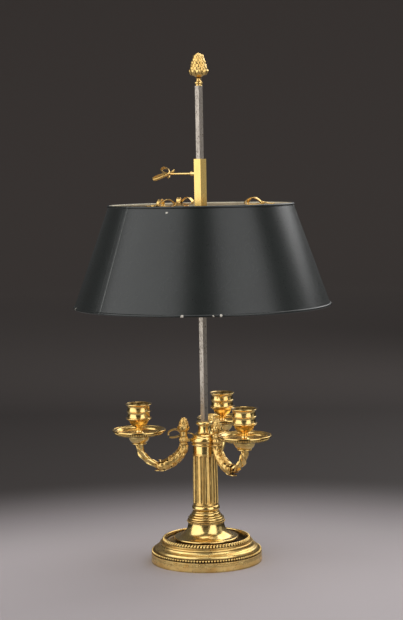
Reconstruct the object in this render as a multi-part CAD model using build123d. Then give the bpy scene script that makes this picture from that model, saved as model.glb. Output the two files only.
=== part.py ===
from build123d import *
import os
from math import atan2, cos, degrees, radians, sin, sqrt

# A three-light bouillotte lamp: a turned and cast brass stand with three candle arms, a square
# steel rod, and a painted sheet-metal shade on a square sleeve that slides on the rod and is
# clamped with a bow-handled thumb key. Millimetres, +Z up the rod, origin under the foot.

# ---- bearings, degrees about the rod ----------------------------------------------------------
CANDLE_BEARINGS = (115.5, 228.5, 347.8)
SPIDER_BEARINGS = (30.0, 150.0, 270.0)
KEY_BEARING = 180.0
SEAM_BEARING = 260.5

# ---- rod, tie end and fits --------------------------------------------------------------------
ROD_SIDE = 7.6
ROD_TOP = 638.3
ROD_CORNER = 0.5
TIE_RADIUS = 3.0
TIE_HOLE_CLEARANCE = 0.3
ROD_SOCKET_DEPTH = 9.0
SOCKET_CLEARANCE = 0.1
SLEEVE_CLEARANCE = 0.15
SPIGOT_CLEARANCE = 0.1
SEAT_GAP = 0.05

# ---- foot -------------------------------------------------------------------------------------
PLINTH_RADIUS = 74.8
PLINTH_HEIGHT = 12.4
FOOT_WALL = 4.0
LOWER_BEAD = 4.6
OGEE_HEIGHT = 7.0
OGEE_TOP_RADIUS = 63.4
FILLET_RING = 2.8
FILLET_RING_RADIUS = 61.8
COVE_HEIGHT = 1.9
COVE_RADIUS = 59.8
UPPER_BEAD = 4.4
DISH_DEPTH = 3.0
SPREAD_SEAT_RISE = 1.6

# ---- spread foot and column -------------------------------------------------------------------
SPREAD_RADIUS = 43.6
SPREAD_LIP = 3.4
SEAT_INSET = 0.5
SPREAD_HEIGHT = 22.6
SPREAD_TOP_RADIUS = 24.6
SPREAD_HOLLOW = 5.0
ROPE_HEIGHT = 4.2
ROPE_RADIUS = 26.0
STEP_RADII = (24.2, 21.8, 19.4, 17.8)
STEP_HEIGHTS = (3.0, 2.5, 3.7, 2.2)
TORUS_RADIUS = 18.7
TORUS_HEIGHT = 8.2
SHAFT_HEIGHT = 70.3
SHAFT_BOTTOM_RADIUS = 17.1
SHAFT_TOP_RADIUS = 16.3
FLUTE_COUNT = 16
FLUTE_RADIUS = 2.9
FLUTE_DEPTH = 1.3
FLUTE_STOP = 2.2
NECK_RADIUS = 16.1
NECK_HEIGHT = 10.6
HUB_RADIUS = 19.2
HUB_HEIGHT = 12.0
DOME_HEIGHT = 4.4
DOME_TOP_RADIUS = 11.4
DOME_BULGE = 1.0
SPOOL_RADIUS = 8.9
SPOOL_HOLLOW = 1.2
SPOOL_HEIGHT = 11.0
FLANGE_RADIUS = 11.8
FLANGE_HEIGHT = 5.2
NUT_ACROSS_FLATS = 11.0
NUT_HEIGHT = 5.0
WASHER_RADIUS = 9.0
WASHER_THICKNESS = 1.5
TIE_PROUD = 2.5

# ---- finial -----------------------------------------------------------------------------------
CUP_RADIUS = 5.7
CUP_HEIGHT = 4.6
FINIAL_NECK_RADIUS = 3.3
FINIAL_NECK_HEIGHT = 6.2
CONE_RADIUS = 12.4
CONE_HEIGHT = 32.8
CONE_WIDEST = 5.6
CONE_BLUNTNESS = 0.56
CONE_CAP = 0.49
FINIAL_SPIGOT_RADIUS = 2.2
FINIAL_SPIGOT_LENGTH = 14.0

# ---- candle arms ------------------------------------------------------------------------------
ARM_REACH = 88.6
KNOP_STANDOFF = 3.3
ARM_LOW_REACH = 60.0
ARM_LOW_Z = 130.9
ARM_SHOULDER = 0.3
ARM_INNER_RISE = 10.6
ARM_OUTER_RISE = 11.0
ARM_NECK_Z = 159.3
ARM_TOP_Z = 161.9
ARM_NECK_RADIUS = 5.2
SHEATH_RADIUS = 7.8
SHEATH_END = 0.56
SHEATH_LIP = 1.1
SHEATH_MOUTH_DEPTH = 0.08
LIMB_RADIUS = 4.8
LIMB_STRANDS = 4
LIMB_VALLEY_RADIUS = 3.7
LIMB_TWIST = 270.0
LIMB_STATIONS = 10
SPIGOT_RADIUS = 2.2
KNOP_HEIGHT = 11.5
KNOP_RADIUS = 6.1
KNOP_WAIST_RADIUS = 5.0
KNOP_BEAD_HEIGHT = 3.4
KNOP_BEAD_BULGE = 0.8
KNOP_CAP_HEIGHT = 1.5
TENON_WIDTH = 4.0
TENON_HEIGHT = 5.0
TENON_DEPTH = 4.5
BRACKET_BOSS_RADIUS = 4.9
BRACKET_BOSS_HEIGHT = 4.6
STRAND_WIDTH = 3.4
STRAND_THICKNESS = 1.5
TENDRIL_REACH = 19.5
DOME_SEAT_INSET = 3.4
ACORN_RADIUS = 7.3
ACORN_HEIGHT = 20.0
ACORN_WIDEST = 5.2
ACORN_NECK_RADIUS = 4.6
ACORN_NECK_HEIGHT = 1.2
ACORN_BORE_DEPTH = 9.0

# ---- pan holder, drip pan and candle nozzle ---------------------------------------------------
HOLDER_BOTTOM_RADIUS = 8.9
HOLDER_TOP_RADIUS = 14.4
HOLDER_BULGE = 1.4
HOLDER_HEIGHT = 11.1
HOLDER_RING = 1.8
PAN_RADIUS = 36.0
PAN_DEPTH = 6.6
PAN_SHEET = 2.0
PAN_FLAT_RADIUS = 9.0
PAN_FLOOR_RADIUS = 28.6
PAN_RISE = 2.4
PAN_BEAD = 2.8
PAN_BEAD_RADIUS = 30.4
NOZZLE_HEIGHT = 42.0
NOZZLE_RIM_RADIUS = 17.6
NOZZLE_LIP = 1.6
NOZZLE_BODY_RADIUS = 15.0
NOZZLE_COVE_DEPTH = 1.3
NOZZLE_BAND_PROUD = 0.2
NOZZLE_RING_RADIUS = 17.6
NOZZLE_RING_EDGE = 0.8
NOZZLE_RING_RISE = 1.6
NOZZLE_SKIRT = 3.2
NOZZLE_BOWL_RADIUS = 13.2
NOZZLE_BOWL_HEIGHT = 9.4
NOZZLE_BOWL_BULGE = 1.4
NOZZLE_STEM_RADIUS = 4.8
NOZZLE_STEM_SHOULDER = 1.2
NOZZLE_FOOT_RADIUS = 6.0
CANDLE_BORE_RADIUS = 11.3
CANDLE_BORE_DEPTH = 21.5
NOZZLE_SPIGOT_DEPTH = 9.0

# ---- sleeve, key and spider -------------------------------------------------------------------
SLEEVE_WALL = 1.85
SLEEVE_BOTTOM = 454.3
SLEEVE_TOP = 541.9
KEY_Z = 522.7
KEY_BOSS_RADIUS = 3.1
KEY_BOSS_LENGTH = 8.2
KEY_THREAD_RADIUS = 1.9
KEY_THREAD_CLEARANCE = 0.05
KEY_COLLAR_RADIUS = 2.6
KEY_COLLAR_LENGTH = 2.4
KEY_STEM_RADIUS = 1.4
KEY_KNOT_REACH = 57.0
KEY_KNOT_RADIUS = 2.6
KEY_LOOP_LENGTH = 25.0
KEY_LOOP_WIDTH = 7.6
KEY_LOOP_SPLAY = 29.0
KEY_BOW_TILT = 52.4
KEY_TAIL_LENGTH = 9.5
KEY_TAIL_ANGLE = 118.0
KEY_RIBBON_WIDTH = 3.0
KEY_RIBBON_THICKNESS = 1.2
SPIDER_HUB_RADIUS = 13.0
SPIDER_HUB_THICKNESS = 3.0
SPIDER_Z = 479.4
STRAP_WIDTH = 7.0
STRAP_THICKNESS = 1.6
STRAP_KNEE = 66.0
STRAP_BEND = 14.0
STRAP_END_GAP = 2.2
STRAP_TIP_ROUNDING = 0.45
BOW_REACH = 84.0
BOW_LOOP_LENGTH = 24.0
BOW_LOOP_HEIGHT = 12.4
BOW_LOOP_SPLAY = 30.0
BOW_RIBBON_WIDTH = 4.6
BOW_RIBBON_THICKNESS = 1.2
BOW_KNOT_RADIUS = 4.0
BOW_TAIL_LENGTH = 14.0
RIVET_RADIUS = 1.5
RIVET_HEAD_RADIUS = 2.6
RIVET_HEAD_HEIGHT = 1.3
RIVET_INSET = 12.0
LUG_WIDTH = 9.0
LUG_LENGTH = 9.0
LUG_THICKNESS = 1.0
LUG_DROP = 10.0

# ---- shade ------------------------------------------------------------------------------------
SHADE_BOTTOM_RADIUS = 170.8
SHADE_TOP_RADIUS = 123.1
SHADE_BOTTOM = 347.3
SHADE_TOP = 480.6
SHADE_SHEET = 0.6
WIRE_RADIUS = 1.1
ROLL_CLEARANCE = 0.05
SEAM_WIDTH = 9.0
SEAM_LAP = 0.5

# ---- levels and shared sizes worked out from the above ----------------------------------------
ogee_z = PLINTH_HEIGHT + LOWER_BEAD
fillet_z = ogee_z + OGEE_HEIGHT
cove_z = fillet_z + FILLET_RING
ledge_z = cove_z + COVE_HEIGHT
dish_radius = COVE_RADIUS - UPPER_BEAD
dish_floor_z = ledge_z - DISH_DEPTH
foot_inside_z = dish_floor_z - FOOT_WALL
spread_seat_z = ledge_z + SPREAD_SEAT_RISE
spread_base_radius = SPREAD_RADIUS - SPREAD_LIP / 2
rope_z = spread_seat_z + SPREAD_HEIGHT
step_z = rope_z + ROPE_HEIGHT
torus_z = step_z + sum(STEP_HEIGHTS)
shaft_z = torus_z + TORUS_HEIGHT
neck_z = shaft_z + SHAFT_HEIGHT
hub_z = neck_z + NECK_HEIGHT
dome_z = hub_z + HUB_HEIGHT
spool_z = dome_z + DOME_HEIGHT
flange_z = spool_z + SPOOL_HEIGHT
stand_top_z = flange_z + FLANGE_HEIGHT
tie_hole = TIE_RADIUS + TIE_HOLE_CLEARANCE
washer_z = foot_inside_z - WASHER_THICKNESS
nut_z = washer_z - NUT_HEIGHT
arm_inner = HUB_RADIUS + KNOP_STANDOFF + KNOP_RADIUS
knop_top_z = ARM_NECK_Z + KNOP_HEIGHT
acorn_z = knop_top_z + BRACKET_BOSS_HEIGHT
holder_top_z = ARM_TOP_Z + HOLDER_HEIGHT
pan_floor_z = holder_top_z + PAN_SHEET
spigot_hole = SPIGOT_RADIUS + SPIGOT_CLEARANCE
sleeve_hole = ROD_SIDE / 2 + SLEEVE_CLEARANCE
sleeve_half = sleeve_hole + SLEEVE_WALL
roll_radius = WIRE_RADIUS + ROLL_CLEARANCE + SHADE_SHEET
shade_slope = (SHADE_BOTTOM_RADIUS - SHADE_TOP_RADIUS) / (SHADE_TOP - SHADE_BOTTOM)


# ---- helpers ----------------------------------------------------------------------------------
def outline(start, *steps):
    """Closed face in the r-z plane. A step is (r, z), or (r, z, sagitta) for an arc to there."""
    edges, here = [], start
    for r, z, *sagitta in [*steps, start]:
        if (r, z) == here:
            continue
        if sagitta:
            edges.append(SagittaArc(here, (r, z), sagitta[0]))
        else:
            edges.append(Line(here, (r, z)))
        here = (r, z)
    return Plane.XZ * make_face(edges)


def turned(start, *steps):
    """Solid of revolution about the rod's axis."""
    return revolve(outline(start, *steps), Axis.Z, 360)


def ring(inner, outer, low, high):
    """Plain collar of rectangular section."""
    return turned((inner, low), (outer, low), (outer, high), (inner, high))


def at_bearing(shape, bearing):
    """Copy of a piece made along +X, turned about the rod to its bearing."""
    return Rot(0, 0, bearing) * shape


def quarter_round(radius):
    """Sagitta of a quarter circle."""
    return radius * (1 - sqrt(0.5))


def cap(radius, height):
    """Sagitta of a spherical cap's outline, whose centre lies on the axis."""
    sphere = (radius**2 + height**2) / (2 * height)
    return sphere - sqrt(sphere**2 - (radius**2 + height**2) / 4)


def strip(path, across, width, thickness):
    """Flat strip swept along a path; its width lies across the path's own plane."""
    plane = Plane(origin=path @ 0, x_dir=across, z_dir=path % 0)
    return sweep(plane * Rectangle(width, thickness), path=path)


def save(node, *solids):
    """Writes one node; several solids become one group."""
    shape = solids[0] if len(solids) == 1 else Compound(children=list(solids))
    shape.label = node
    export_step(shape, f"parts/{node}.step")


# ---- foot -------------------------------------------------------------------------------------
def base_foot():
    """Cast foot: plinth, ogee, fillet ring, cove, dish and raised seat, open underneath."""
    ledge = PLINTH_RADIUS - LOWER_BEAD
    cavity = PLINTH_RADIUS - FOOT_WALL
    seat_radius = spread_base_radius - SEAT_INSET
    shoulder = COVE_RADIUS - FOOT_WALL
    ogee_middle = ((ledge + OGEE_TOP_RADIUS) / 2, ogee_z + OGEE_HEIGHT / 2)
    ogee_bow = OGEE_HEIGHT / 8
    return turned(
        (cavity, 0),
        (PLINTH_RADIUS, 0),
        (PLINTH_RADIUS, PLINTH_HEIGHT),
        (ledge, PLINTH_HEIGHT),
        (ledge, ogee_z),
        (*ogee_middle, -ogee_bow),
        (OGEE_TOP_RADIUS, fillet_z, ogee_bow),
        (FILLET_RING_RADIUS, fillet_z),
        (FILLET_RING_RADIUS, cove_z, -FILLET_RING / 2),
        (COVE_RADIUS, cove_z),
        (COVE_RADIUS, ledge_z),
        (dish_radius, ledge_z),
        (dish_radius - DISH_DEPTH, dish_floor_z, quarter_round(DISH_DEPTH)),
        (seat_radius, dish_floor_z),
        (seat_radius, spread_seat_z),
        (tie_hole, spread_seat_z),
        (tie_hole, foot_inside_z),
        (shoulder, foot_inside_z),
        (cavity, PLINTH_HEIGHT - FOOT_WALL),
    )


def bead_band(outer, low, size):
    """Half-round band on a square seat, the ground of a row of beads."""
    inner = outer - size
    return turned((inner, low), (outer, low), (outer, low + size / 2),
                  (inner, low + size / 2, -size / 2))


def spread_foot():
    """Concave polished flare from the rolled lip up to the rope ring."""
    lip = spread_seat_z + SPREAD_LIP
    flare = SPREAD_RADIUS - SPREAD_LIP
    return turned(
        (tie_hole, spread_seat_z),
        (spread_base_radius, spread_seat_z),
        (spread_base_radius, lip, -SPREAD_LIP / 2),
        (flare, lip),
        (SPREAD_TOP_RADIUS, rope_z, SPREAD_HOLLOW),
        (tie_hole, rope_z),
    )


def rope_ring():
    """Narrow ring that carries the rope moulding."""
    bulge = ROPE_HEIGHT / 2
    return turned((tie_hole, rope_z), (ROPE_RADIUS - bulge, rope_z),
                  (ROPE_RADIUS - bulge, step_z, -bulge), (tie_hole, step_z))


def column_base():
    """Stepped mouldings, then the torus under the shaft."""
    steps, z, radius = [], step_z, STEP_RADII[0]
    for radius, height in zip(STEP_RADII, STEP_HEIGHTS):
        bow = height / 4
        steps += [(radius - bow, z), (radius - bow, z + height, -bow)]
        z += height
    bulge = TORUS_HEIGHT / 3
    steps += [(TORUS_RADIUS - bulge, z), (TORUS_RADIUS - bulge, shaft_z, -bulge)]
    return turned((tie_hole, step_z), *steps, (tie_hole, shaft_z))


def column_shaft():
    """Tapered drum with round-ended flutes stopped short of both rims, bored for the tie end."""
    drum = turned((tie_hole, shaft_z), (SHAFT_BOTTOM_RADIUS, shaft_z),
                  (SHAFT_TOP_RADIUS, neck_z), (tie_hole, neck_z))
    lean = degrees(atan2(SHAFT_BOTTOM_RADIUS - SHAFT_TOP_RADIUS, SHAFT_HEIGHT))
    proud = FLUTE_RADIUS - FLUTE_DEPTH
    middle = (SHAFT_BOTTOM_RADIUS + SHAFT_TOP_RADIUS) / 2 + proud
    end_reach = sqrt(FLUTE_RADIUS**2 - proud**2)
    length = SHAFT_HEIGHT - 2 * (FLUTE_STOP + end_reach)
    cutter = Cylinder(FLUTE_RADIUS, length)
    cutter += [Pos(0, 0, side * length / 2) * Sphere(FLUTE_RADIUS) for side in (-1, 1)]
    cutter = Pos(middle, 0, shaft_z + SHAFT_HEIGHT / 2) * Rot(0, -lean, 0) * cutter
    flutes = [Rot(0, 0, i * 360 / FLUTE_COUNT) * cutter for i in range(FLUTE_COUNT)]
    return drum - flutes


def column_neck():
    """Plain necking above the flutes."""
    return ring(tie_hole, NECK_RADIUS, neck_z, hub_z)


def arm_hub():
    """Collar with a mouth for the tenon of each candle arm."""
    lower = HUB_HEIGHT / 3
    waist = HUB_RADIUS - lower / 2
    collar = turned(
        (tie_hole, hub_z),
        (waist, hub_z),
        (waist, hub_z + lower, -lower / 3),
        (HUB_RADIUS - lower / 4, hub_z + lower),
        (HUB_RADIUS - lower / 4, dome_z - lower / 4, -lower / 4),
        (HUB_RADIUS - lower / 2, dome_z),
        (tie_hole, dome_z),
    )
    slot = Pos(HUB_RADIUS, 0, hub_z + HUB_HEIGHT / 2) * Box(
        2 * TENON_DEPTH + SPIGOT_CLEARANCE, TENON_WIDTH + SPIGOT_CLEARANCE,
        TENON_HEIGHT + SPIGOT_CLEARANCE)
    return collar - [at_bearing(slot, bearing) for bearing in CANDLE_BEARINGS]


def hub_dome():
    """Shallow dome between the hub and the spool."""
    rim = HUB_RADIUS - HUB_HEIGHT / 6
    return turned((tie_hole, dome_z), (rim, dome_z), (DOME_TOP_RADIUS, spool_z, -DOME_BULGE),
                  (tie_hole, spool_z))


def spool():
    """Waisted collar that holds the foot of the square rod."""
    lip = FLANGE_HEIGHT / 3
    body = turned(
        (tie_hole, spool_z),
        (DOME_TOP_RADIUS, spool_z),
        (SPOOL_RADIUS, flange_z, SPOOL_HOLLOW),
        (FLANGE_RADIUS - lip, flange_z),
        (FLANGE_RADIUS - lip, stand_top_z, -lip),
        (tie_hole, stand_top_z),
    )
    side = ROD_SIDE + 2 * SOCKET_CLEARANCE
    socket = Pos(0, 0, stand_top_z - ROD_SOCKET_DEPTH / 2) * Box(side, side, ROD_SOCKET_DEPTH)
    return body - socket


def rod():
    """Square bar with a round tie end through the stand and a spigot for the finial."""
    foot_z = stand_top_z - ROD_SOCKET_DEPTH + SEAT_GAP
    length = ROD_TOP - foot_z
    bar = Pos(0, 0, foot_z + length / 2) * Box(ROD_SIDE, ROD_SIDE, length)
    bar = chamfer(bar.edges().filter_by(Axis.Z), ROD_CORNER)
    tie = ring(0, TIE_RADIUS, nut_z - TIE_PROUD, foot_z)
    spigot = ring(0, FINIAL_SPIGOT_RADIUS, ROD_TOP, ROD_TOP + FINIAL_SPIGOT_LENGTH)
    return bar + tie + spigot


def tie_washer():
    return ring(tie_hole, WASHER_RADIUS, washer_z, washer_z + WASHER_THICKNESS)


def tie_nut():
    """Hexagon nut that pulls the stand together from below."""
    hexagon = RegularPolygon(NUT_ACROSS_FLATS / 2, 6, major_radius=False)
    blank = Pos(0, 0, nut_z) * extrude(hexagon, NUT_HEIGHT)
    hole = TIE_RADIUS + SPIGOT_CLEARANCE
    return blank - ring(0, hole, nut_z, nut_z + NUT_HEIGHT)


# ---- finial -----------------------------------------------------------------------------------
def finial_cup():
    """Little turned cup on the rod's shoulder."""
    hole = FINIAL_SPIGOT_RADIUS + SPIGOT_CLEARANCE
    foot = CUP_RADIUS * 0.8
    return turned((hole, ROD_TOP), (foot, ROD_TOP),
                  (CUP_RADIUS, ROD_TOP + CUP_HEIGHT * 0.7, CUP_HEIGHT / 6),
                  (CUP_RADIUS, ROD_TOP + CUP_HEIGHT), (hole, ROD_TOP + CUP_HEIGHT))


def finial():
    """Pine cone on a short neck, bored blind for the rod's spigot."""
    hole = FINIAL_SPIGOT_RADIUS + SPIGOT_CLEARANCE
    foot = ROD_TOP + CUP_HEIGHT
    cone = foot + FINIAL_NECK_HEIGHT
    widest = cone + CONE_WIDEST
    tip = cone + CONE_HEIGHT
    bore_top = ROD_TOP + FINIAL_SPIGOT_LENGTH + SPIGOT_CLEARANCE
    neck_flare = FINIAL_NECK_RADIUS * 1.3
    blunt, cap_height = CONE_RADIUS * CONE_BLUNTNESS, CONE_RADIUS * CONE_CAP
    return turned(
        (hole, foot),
        (neck_flare, foot),
        (neck_flare, cone, FINIAL_NECK_RADIUS / 4),
        (CONE_RADIUS, widest, -CONE_WIDEST / 4),
        (blunt, tip - cap_height, -CONE_RADIUS / 12),
        (0, tip, -cap(blunt, cap_height)),
        (0, bore_top),
        (hole, bore_top),
    )


# ---- candle arms, each made along +X ----------------------------------------------------------
def arm_path():
    """Centre line of the arm, from the neck by the column round to the holder."""
    return Plane.XZ * Spline(
        (arm_inner, ARM_NECK_Z),
        (arm_inner + (ARM_LOW_REACH - arm_inner) * ARM_SHOULDER, ARM_LOW_Z + ARM_INNER_RISE),
        (ARM_LOW_REACH, ARM_LOW_Z),
        (ARM_REACH - (ARM_REACH - ARM_LOW_REACH) * ARM_SHOULDER, ARM_LOW_Z + ARM_OUTER_RISE),
        (ARM_REACH, ARM_TOP_Z),
        tangents=[(0, -1), (0, 1)],
    )


def tube_loft(path, stations):
    """Round-section loft along a path; stations are (share of length, radius)."""
    sections = []
    for share, radius in stations:
        plane = Plane(origin=path @ share, z_dir=path % share)
        sections.append(plane * Circle(radius))
    return loft(sections)


def strand_section(path, share, turn):
    """Section of the twisted limb: rounded strands that meet in sharp valleys."""
    edges = []
    step = 360 / LIMB_STRANDS
    for i in range(LIMB_STRANDS):
        bearings = [turn + (i + part) * step for part in (0, 0.5, 1)]
        sizes = (LIMB_VALLEY_RADIUS, LIMB_RADIUS, LIMB_VALLEY_RADIUS)
        edges.append(ThreePointArc(*[
            (size * cos(radians(b)), size * sin(radians(b))) for size, b in zip(sizes, bearings)]))
    plane = Plane(origin=path @ share, x_dir=(0, 1, 0), z_dir=path % share)
    return plane * make_face(edges)


def twisted_limb(path, start):
    """Limb of twisted strands from inside the sheath to the holder."""
    parts = [i / (LIMB_STATIONS - 1) for i in range(LIMB_STATIONS)]
    return loft([strand_section(path, start + (1 - start) * part, LIMB_TWIST * part)
                 for part in parts])


def candle_arm():
    """Sheathed inner limb with an open mouth, twisted outer limb, and a spigot at each end."""
    path = arm_path()
    sheath = tube_loft(path, [(0, ARM_NECK_RADIUS), (SHEATH_END * 0.35, ARM_NECK_RADIUS * 1.1),
                              (SHEATH_END * 0.75, SHEATH_RADIUS * 0.95),
                              (SHEATH_END, SHEATH_RADIUS)])
    mouth = tube_loft(path, [(SHEATH_END - SHEATH_MOUTH_DEPTH, LIMB_VALLEY_RADIUS),
                             (SHEATH_END, SHEATH_RADIUS - SHEATH_LIP),
                             (SHEATH_END + SHEATH_MOUTH_DEPTH / 8, SHEATH_RADIUS)])
    limb = twisted_limb(path, SHEATH_END - 1.5 * SHEATH_MOUTH_DEPTH)
    inner = Pos(arm_inner, 0, 0) * ring(
        0, SPIGOT_RADIUS, ARM_NECK_Z - ARM_NECK_RADIUS / 2,
        acorn_z + ACORN_BORE_DEPTH - SPIGOT_CLEARANCE)
    outer = Pos(ARM_REACH, 0, 0) * ring(
        0, SPIGOT_RADIUS, ARM_TOP_Z - LIMB_RADIUS / 2,
        pan_floor_z + NOZZLE_SPIGOT_DEPTH - SPIGOT_CLEARANCE)
    return sheath - mouth + limb + inner + outer


def arm_knop():
    """Knop with a bead, a barrel and a cap ring, and the tenon that enters the hub."""
    bow = KNOP_RADIUS - KNOP_WAIST_RADIUS
    bead_top = ARM_NECK_Z + KNOP_BEAD_HEIGHT
    barrel_top = knop_top_z - KNOP_CAP_HEIGHT
    barrel = turned(
        (spigot_hole, ARM_NECK_Z),
        (KNOP_WAIST_RADIUS, ARM_NECK_Z),
        (KNOP_WAIST_RADIUS, bead_top, -KNOP_BEAD_BULGE),
        (KNOP_WAIST_RADIUS, barrel_top, -bow),
        (KNOP_WAIST_RADIUS, knop_top_z, -KNOP_CAP_HEIGHT / 4),
        (spigot_hole, knop_top_z),
    )
    barrel = Pos(arm_inner, 0, 0) * barrel
    start = HUB_RADIUS - TENON_DEPTH + SEAT_GAP
    end = arm_inner - KNOP_WAIST_RADIUS + bow / 2
    tenon = Pos((start + end) / 2, 0, hub_z + HUB_HEIGHT / 2) * Box(
        end - start, TENON_WIDTH, TENON_HEIGHT)
    return barrel + tenon


def arm_bracket():
    """Boss under the acorn, a strap back to the dome and two open tendrils outward."""
    boss = Pos(arm_inner, 0, 0) * ring(spigot_hole, BRACKET_BOSS_RADIUS, knop_top_z, acorn_z)
    middle = (knop_top_z + acorn_z) / 2
    face = arm_inner + BRACKET_BOSS_RADIUS - STRAND_THICKNESS
    tip = arm_inner + TENDRIL_REACH
    rise = BRACKET_BOSS_HEIGHT
    upper = Plane.XZ * Spline((face, middle), ((face + tip) / 2, middle + rise * 0.8),
                              (tip, middle - rise * 0.1), tangents=[(1, 0.1), (-0.3, -1)])
    lower = Plane.XZ * Spline((face, knop_top_z + STRAND_THICKNESS * 0.8),
                              ((face + tip) / 2, knop_top_z),
                              (tip, knop_top_z - rise * 0.4), tangents=[(1, 0), (1, 0)])
    back_face = arm_inner - BRACKET_BOSS_RADIUS + STRAND_THICKNESS
    seat = HUB_RADIUS - DOME_SEAT_INSET
    strap = Plane.XZ * Spline((back_face, middle), ((back_face + seat) / 2, middle + rise / 5),
                              (seat, dome_z + DOME_HEIGHT * 0.42 + STRAND_THICKNESS),
                              tangents=[(-1, 0.3), (-0.5, -1)])
    across = (0, 1, 0)
    strands = [strip(p, across, STRAND_WIDTH, STRAND_THICKNESS) for p in (upper, lower, strap)]
    return boss + strands


def arm_acorn():
    """Small cone finial over the bracket, bored blind."""
    widest = acorn_z + ACORN_WIDEST
    tip = acorn_z + ACORN_HEIGHT
    bore_top = acorn_z + ACORN_BORE_DEPTH
    blunt, cap_height = ACORN_RADIUS * CONE_BLUNTNESS, ACORN_RADIUS * CONE_CAP
    body = turned(
        (spigot_hole, acorn_z),
        (BRACKET_BOSS_RADIUS, acorn_z),
        (ACORN_NECK_RADIUS, acorn_z + ACORN_NECK_HEIGHT, ACORN_NECK_HEIGHT / 6),
        (ACORN_RADIUS, widest, -ACORN_RADIUS / 8),
        (blunt, tip - cap_height, -ACORN_RADIUS / 24),
        (0, tip, -cap(blunt, cap_height)),
        (0, bore_top),
        (spigot_hole, bore_top),
    )
    return Pos(arm_inner, 0, 0) * body


def pan_holder():
    """Cup-shaped seat under the drip pan."""
    body = turned(
        (spigot_hole, ARM_TOP_Z),
        (HOLDER_BOTTOM_RADIUS, ARM_TOP_Z),
        (HOLDER_BOTTOM_RADIUS, ARM_TOP_Z + HOLDER_RING, -HOLDER_RING / 2),
        (HOLDER_TOP_RADIUS, holder_top_z, -HOLDER_BULGE),
        (spigot_hole, holder_top_z),
    )
    return Pos(ARM_REACH, 0, 0) * body


def drip_pan():
    """Shallow wax pan that rises to a beaded edge and a flared rim."""
    rim_z = pan_floor_z + PAN_DEPTH
    bead_z = holder_top_z + PAN_RISE
    lip = PAN_SHEET * 0.6
    bow = PAN_RISE / 4
    body = turned(
        (spigot_hole, holder_top_z),
        (HOLDER_TOP_RADIUS, holder_top_z),
        (PAN_BEAD_RADIUS - PAN_BEAD, bead_z, -bow),
        (PAN_BEAD_RADIUS, bead_z, PAN_BEAD / 3),
        (PAN_BEAD_RADIUS, bead_z + PAN_BEAD, -PAN_BEAD / 3),
        (PAN_RADIUS, rim_z - lip, lip / 2),
        (PAN_RADIUS, rim_z),
        (PAN_RADIUS - lip, rim_z),
        (PAN_FLOOR_RADIUS, pan_floor_z + PAN_RISE, -lip),
        (PAN_FLAT_RADIUS, pan_floor_z, bow),
        (spigot_hole, pan_floor_z),
    )
    return Pos(ARM_REACH, 0, 0) * body


def candle_nozzle():
    """Turned candle socket: stem, bowl, sharp ring, two coves and a thin lip."""
    top = pan_floor_z + NOZZLE_HEIGHT
    rim = top - NOZZLE_LIP
    ring_z = top - CANDLE_BORE_DEPTH + NOZZLE_RING_RISE
    band = (rim - ring_z) / 3
    bowl_top = ring_z - NOZZLE_SKIRT
    bowl_bottom = bowl_top - NOZZLE_BOWL_HEIGHT
    stem_bottom = pan_floor_z + NOZZLE_FOOT_RADIUS * 0.6
    body = turned(
        (spigot_hole, pan_floor_z),
        (NOZZLE_FOOT_RADIUS, pan_floor_z),
        (NOZZLE_FOOT_RADIUS, stem_bottom, -NOZZLE_RING_EDGE),
        (NOZZLE_STEM_RADIUS, stem_bottom + NOZZLE_STEM_SHOULDER),
        (NOZZLE_STEM_RADIUS, bowl_bottom, NOZZLE_STEM_SHOULDER / 2),
        (NOZZLE_BOWL_RADIUS, bowl_top, -NOZZLE_BOWL_BULGE),
        (NOZZLE_RING_RADIUS, ring_z),
        (NOZZLE_RING_RADIUS, ring_z + NOZZLE_RING_EDGE),
        (NOZZLE_BODY_RADIUS, ring_z + NOZZLE_COVE_DEPTH + NOZZLE_RING_EDGE),
        (NOZZLE_BODY_RADIUS, ring_z + band, NOZZLE_COVE_DEPTH),
        (NOZZLE_BODY_RADIUS + NOZZLE_BAND_PROUD, ring_z + band),
        (NOZZLE_BODY_RADIUS + NOZZLE_BAND_PROUD, ring_z + 2 * band, -NOZZLE_BAND_PROUD),
        (NOZZLE_BODY_RADIUS, ring_z + 2 * band),
        (NOZZLE_BODY_RADIUS, rim, NOZZLE_COVE_DEPTH),
        (NOZZLE_RIM_RADIUS - NOZZLE_LIP / 2, rim),
        (NOZZLE_RIM_RADIUS - NOZZLE_LIP / 2, top, -NOZZLE_LIP / 2),
        (CANDLE_BORE_RADIUS, top),
        (CANDLE_BORE_RADIUS, top - CANDLE_BORE_DEPTH),
        (0, top - CANDLE_BORE_DEPTH),
        (0, pan_floor_z + NOZZLE_SPIGOT_DEPTH),
        (spigot_hole, pan_floor_z + NOZZLE_SPIGOT_DEPTH),
    )
    return Pos(ARM_REACH, 0, 0) * body


# ---- shade carrier ----------------------------------------------------------------------------
def sleeve():
    """Square tube on the rod, drilled for the key on one face."""
    height = SLEEVE_TOP - SLEEVE_BOTTOM
    middle = (SLEEVE_TOP + SLEEVE_BOTTOM) / 2
    tube = Box(2 * sleeve_half, 2 * sleeve_half, height)
    tube -= Box(2 * sleeve_hole, 2 * sleeve_hole, height)
    return Pos(0, 0, middle) * tube - key_bore(0, sleeve_half + KEY_BOSS_LENGTH)


def along_key(shape):
    """Places a piece made along +Z on the key's axis, pointing out from the rod."""
    return Pos(0, 0, KEY_Z) * Rot(0, 0, KEY_BEARING) * Rot(0, 90, 0) * shape


def key_bore(start, end):
    radius = KEY_THREAD_RADIUS + KEY_THREAD_CLEARANCE
    return along_key(Pos(0, 0, (start + end) / 2) * Cylinder(radius, end - start))


def key_boss():
    """Round threaded boss on the sleeve's face."""
    hole = KEY_THREAD_RADIUS + KEY_THREAD_CLEARANCE
    end = sleeve_half + KEY_BOSS_LENGTH
    return along_key(ring(hole, KEY_BOSS_RADIUS, sleeve_half, end))


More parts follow.
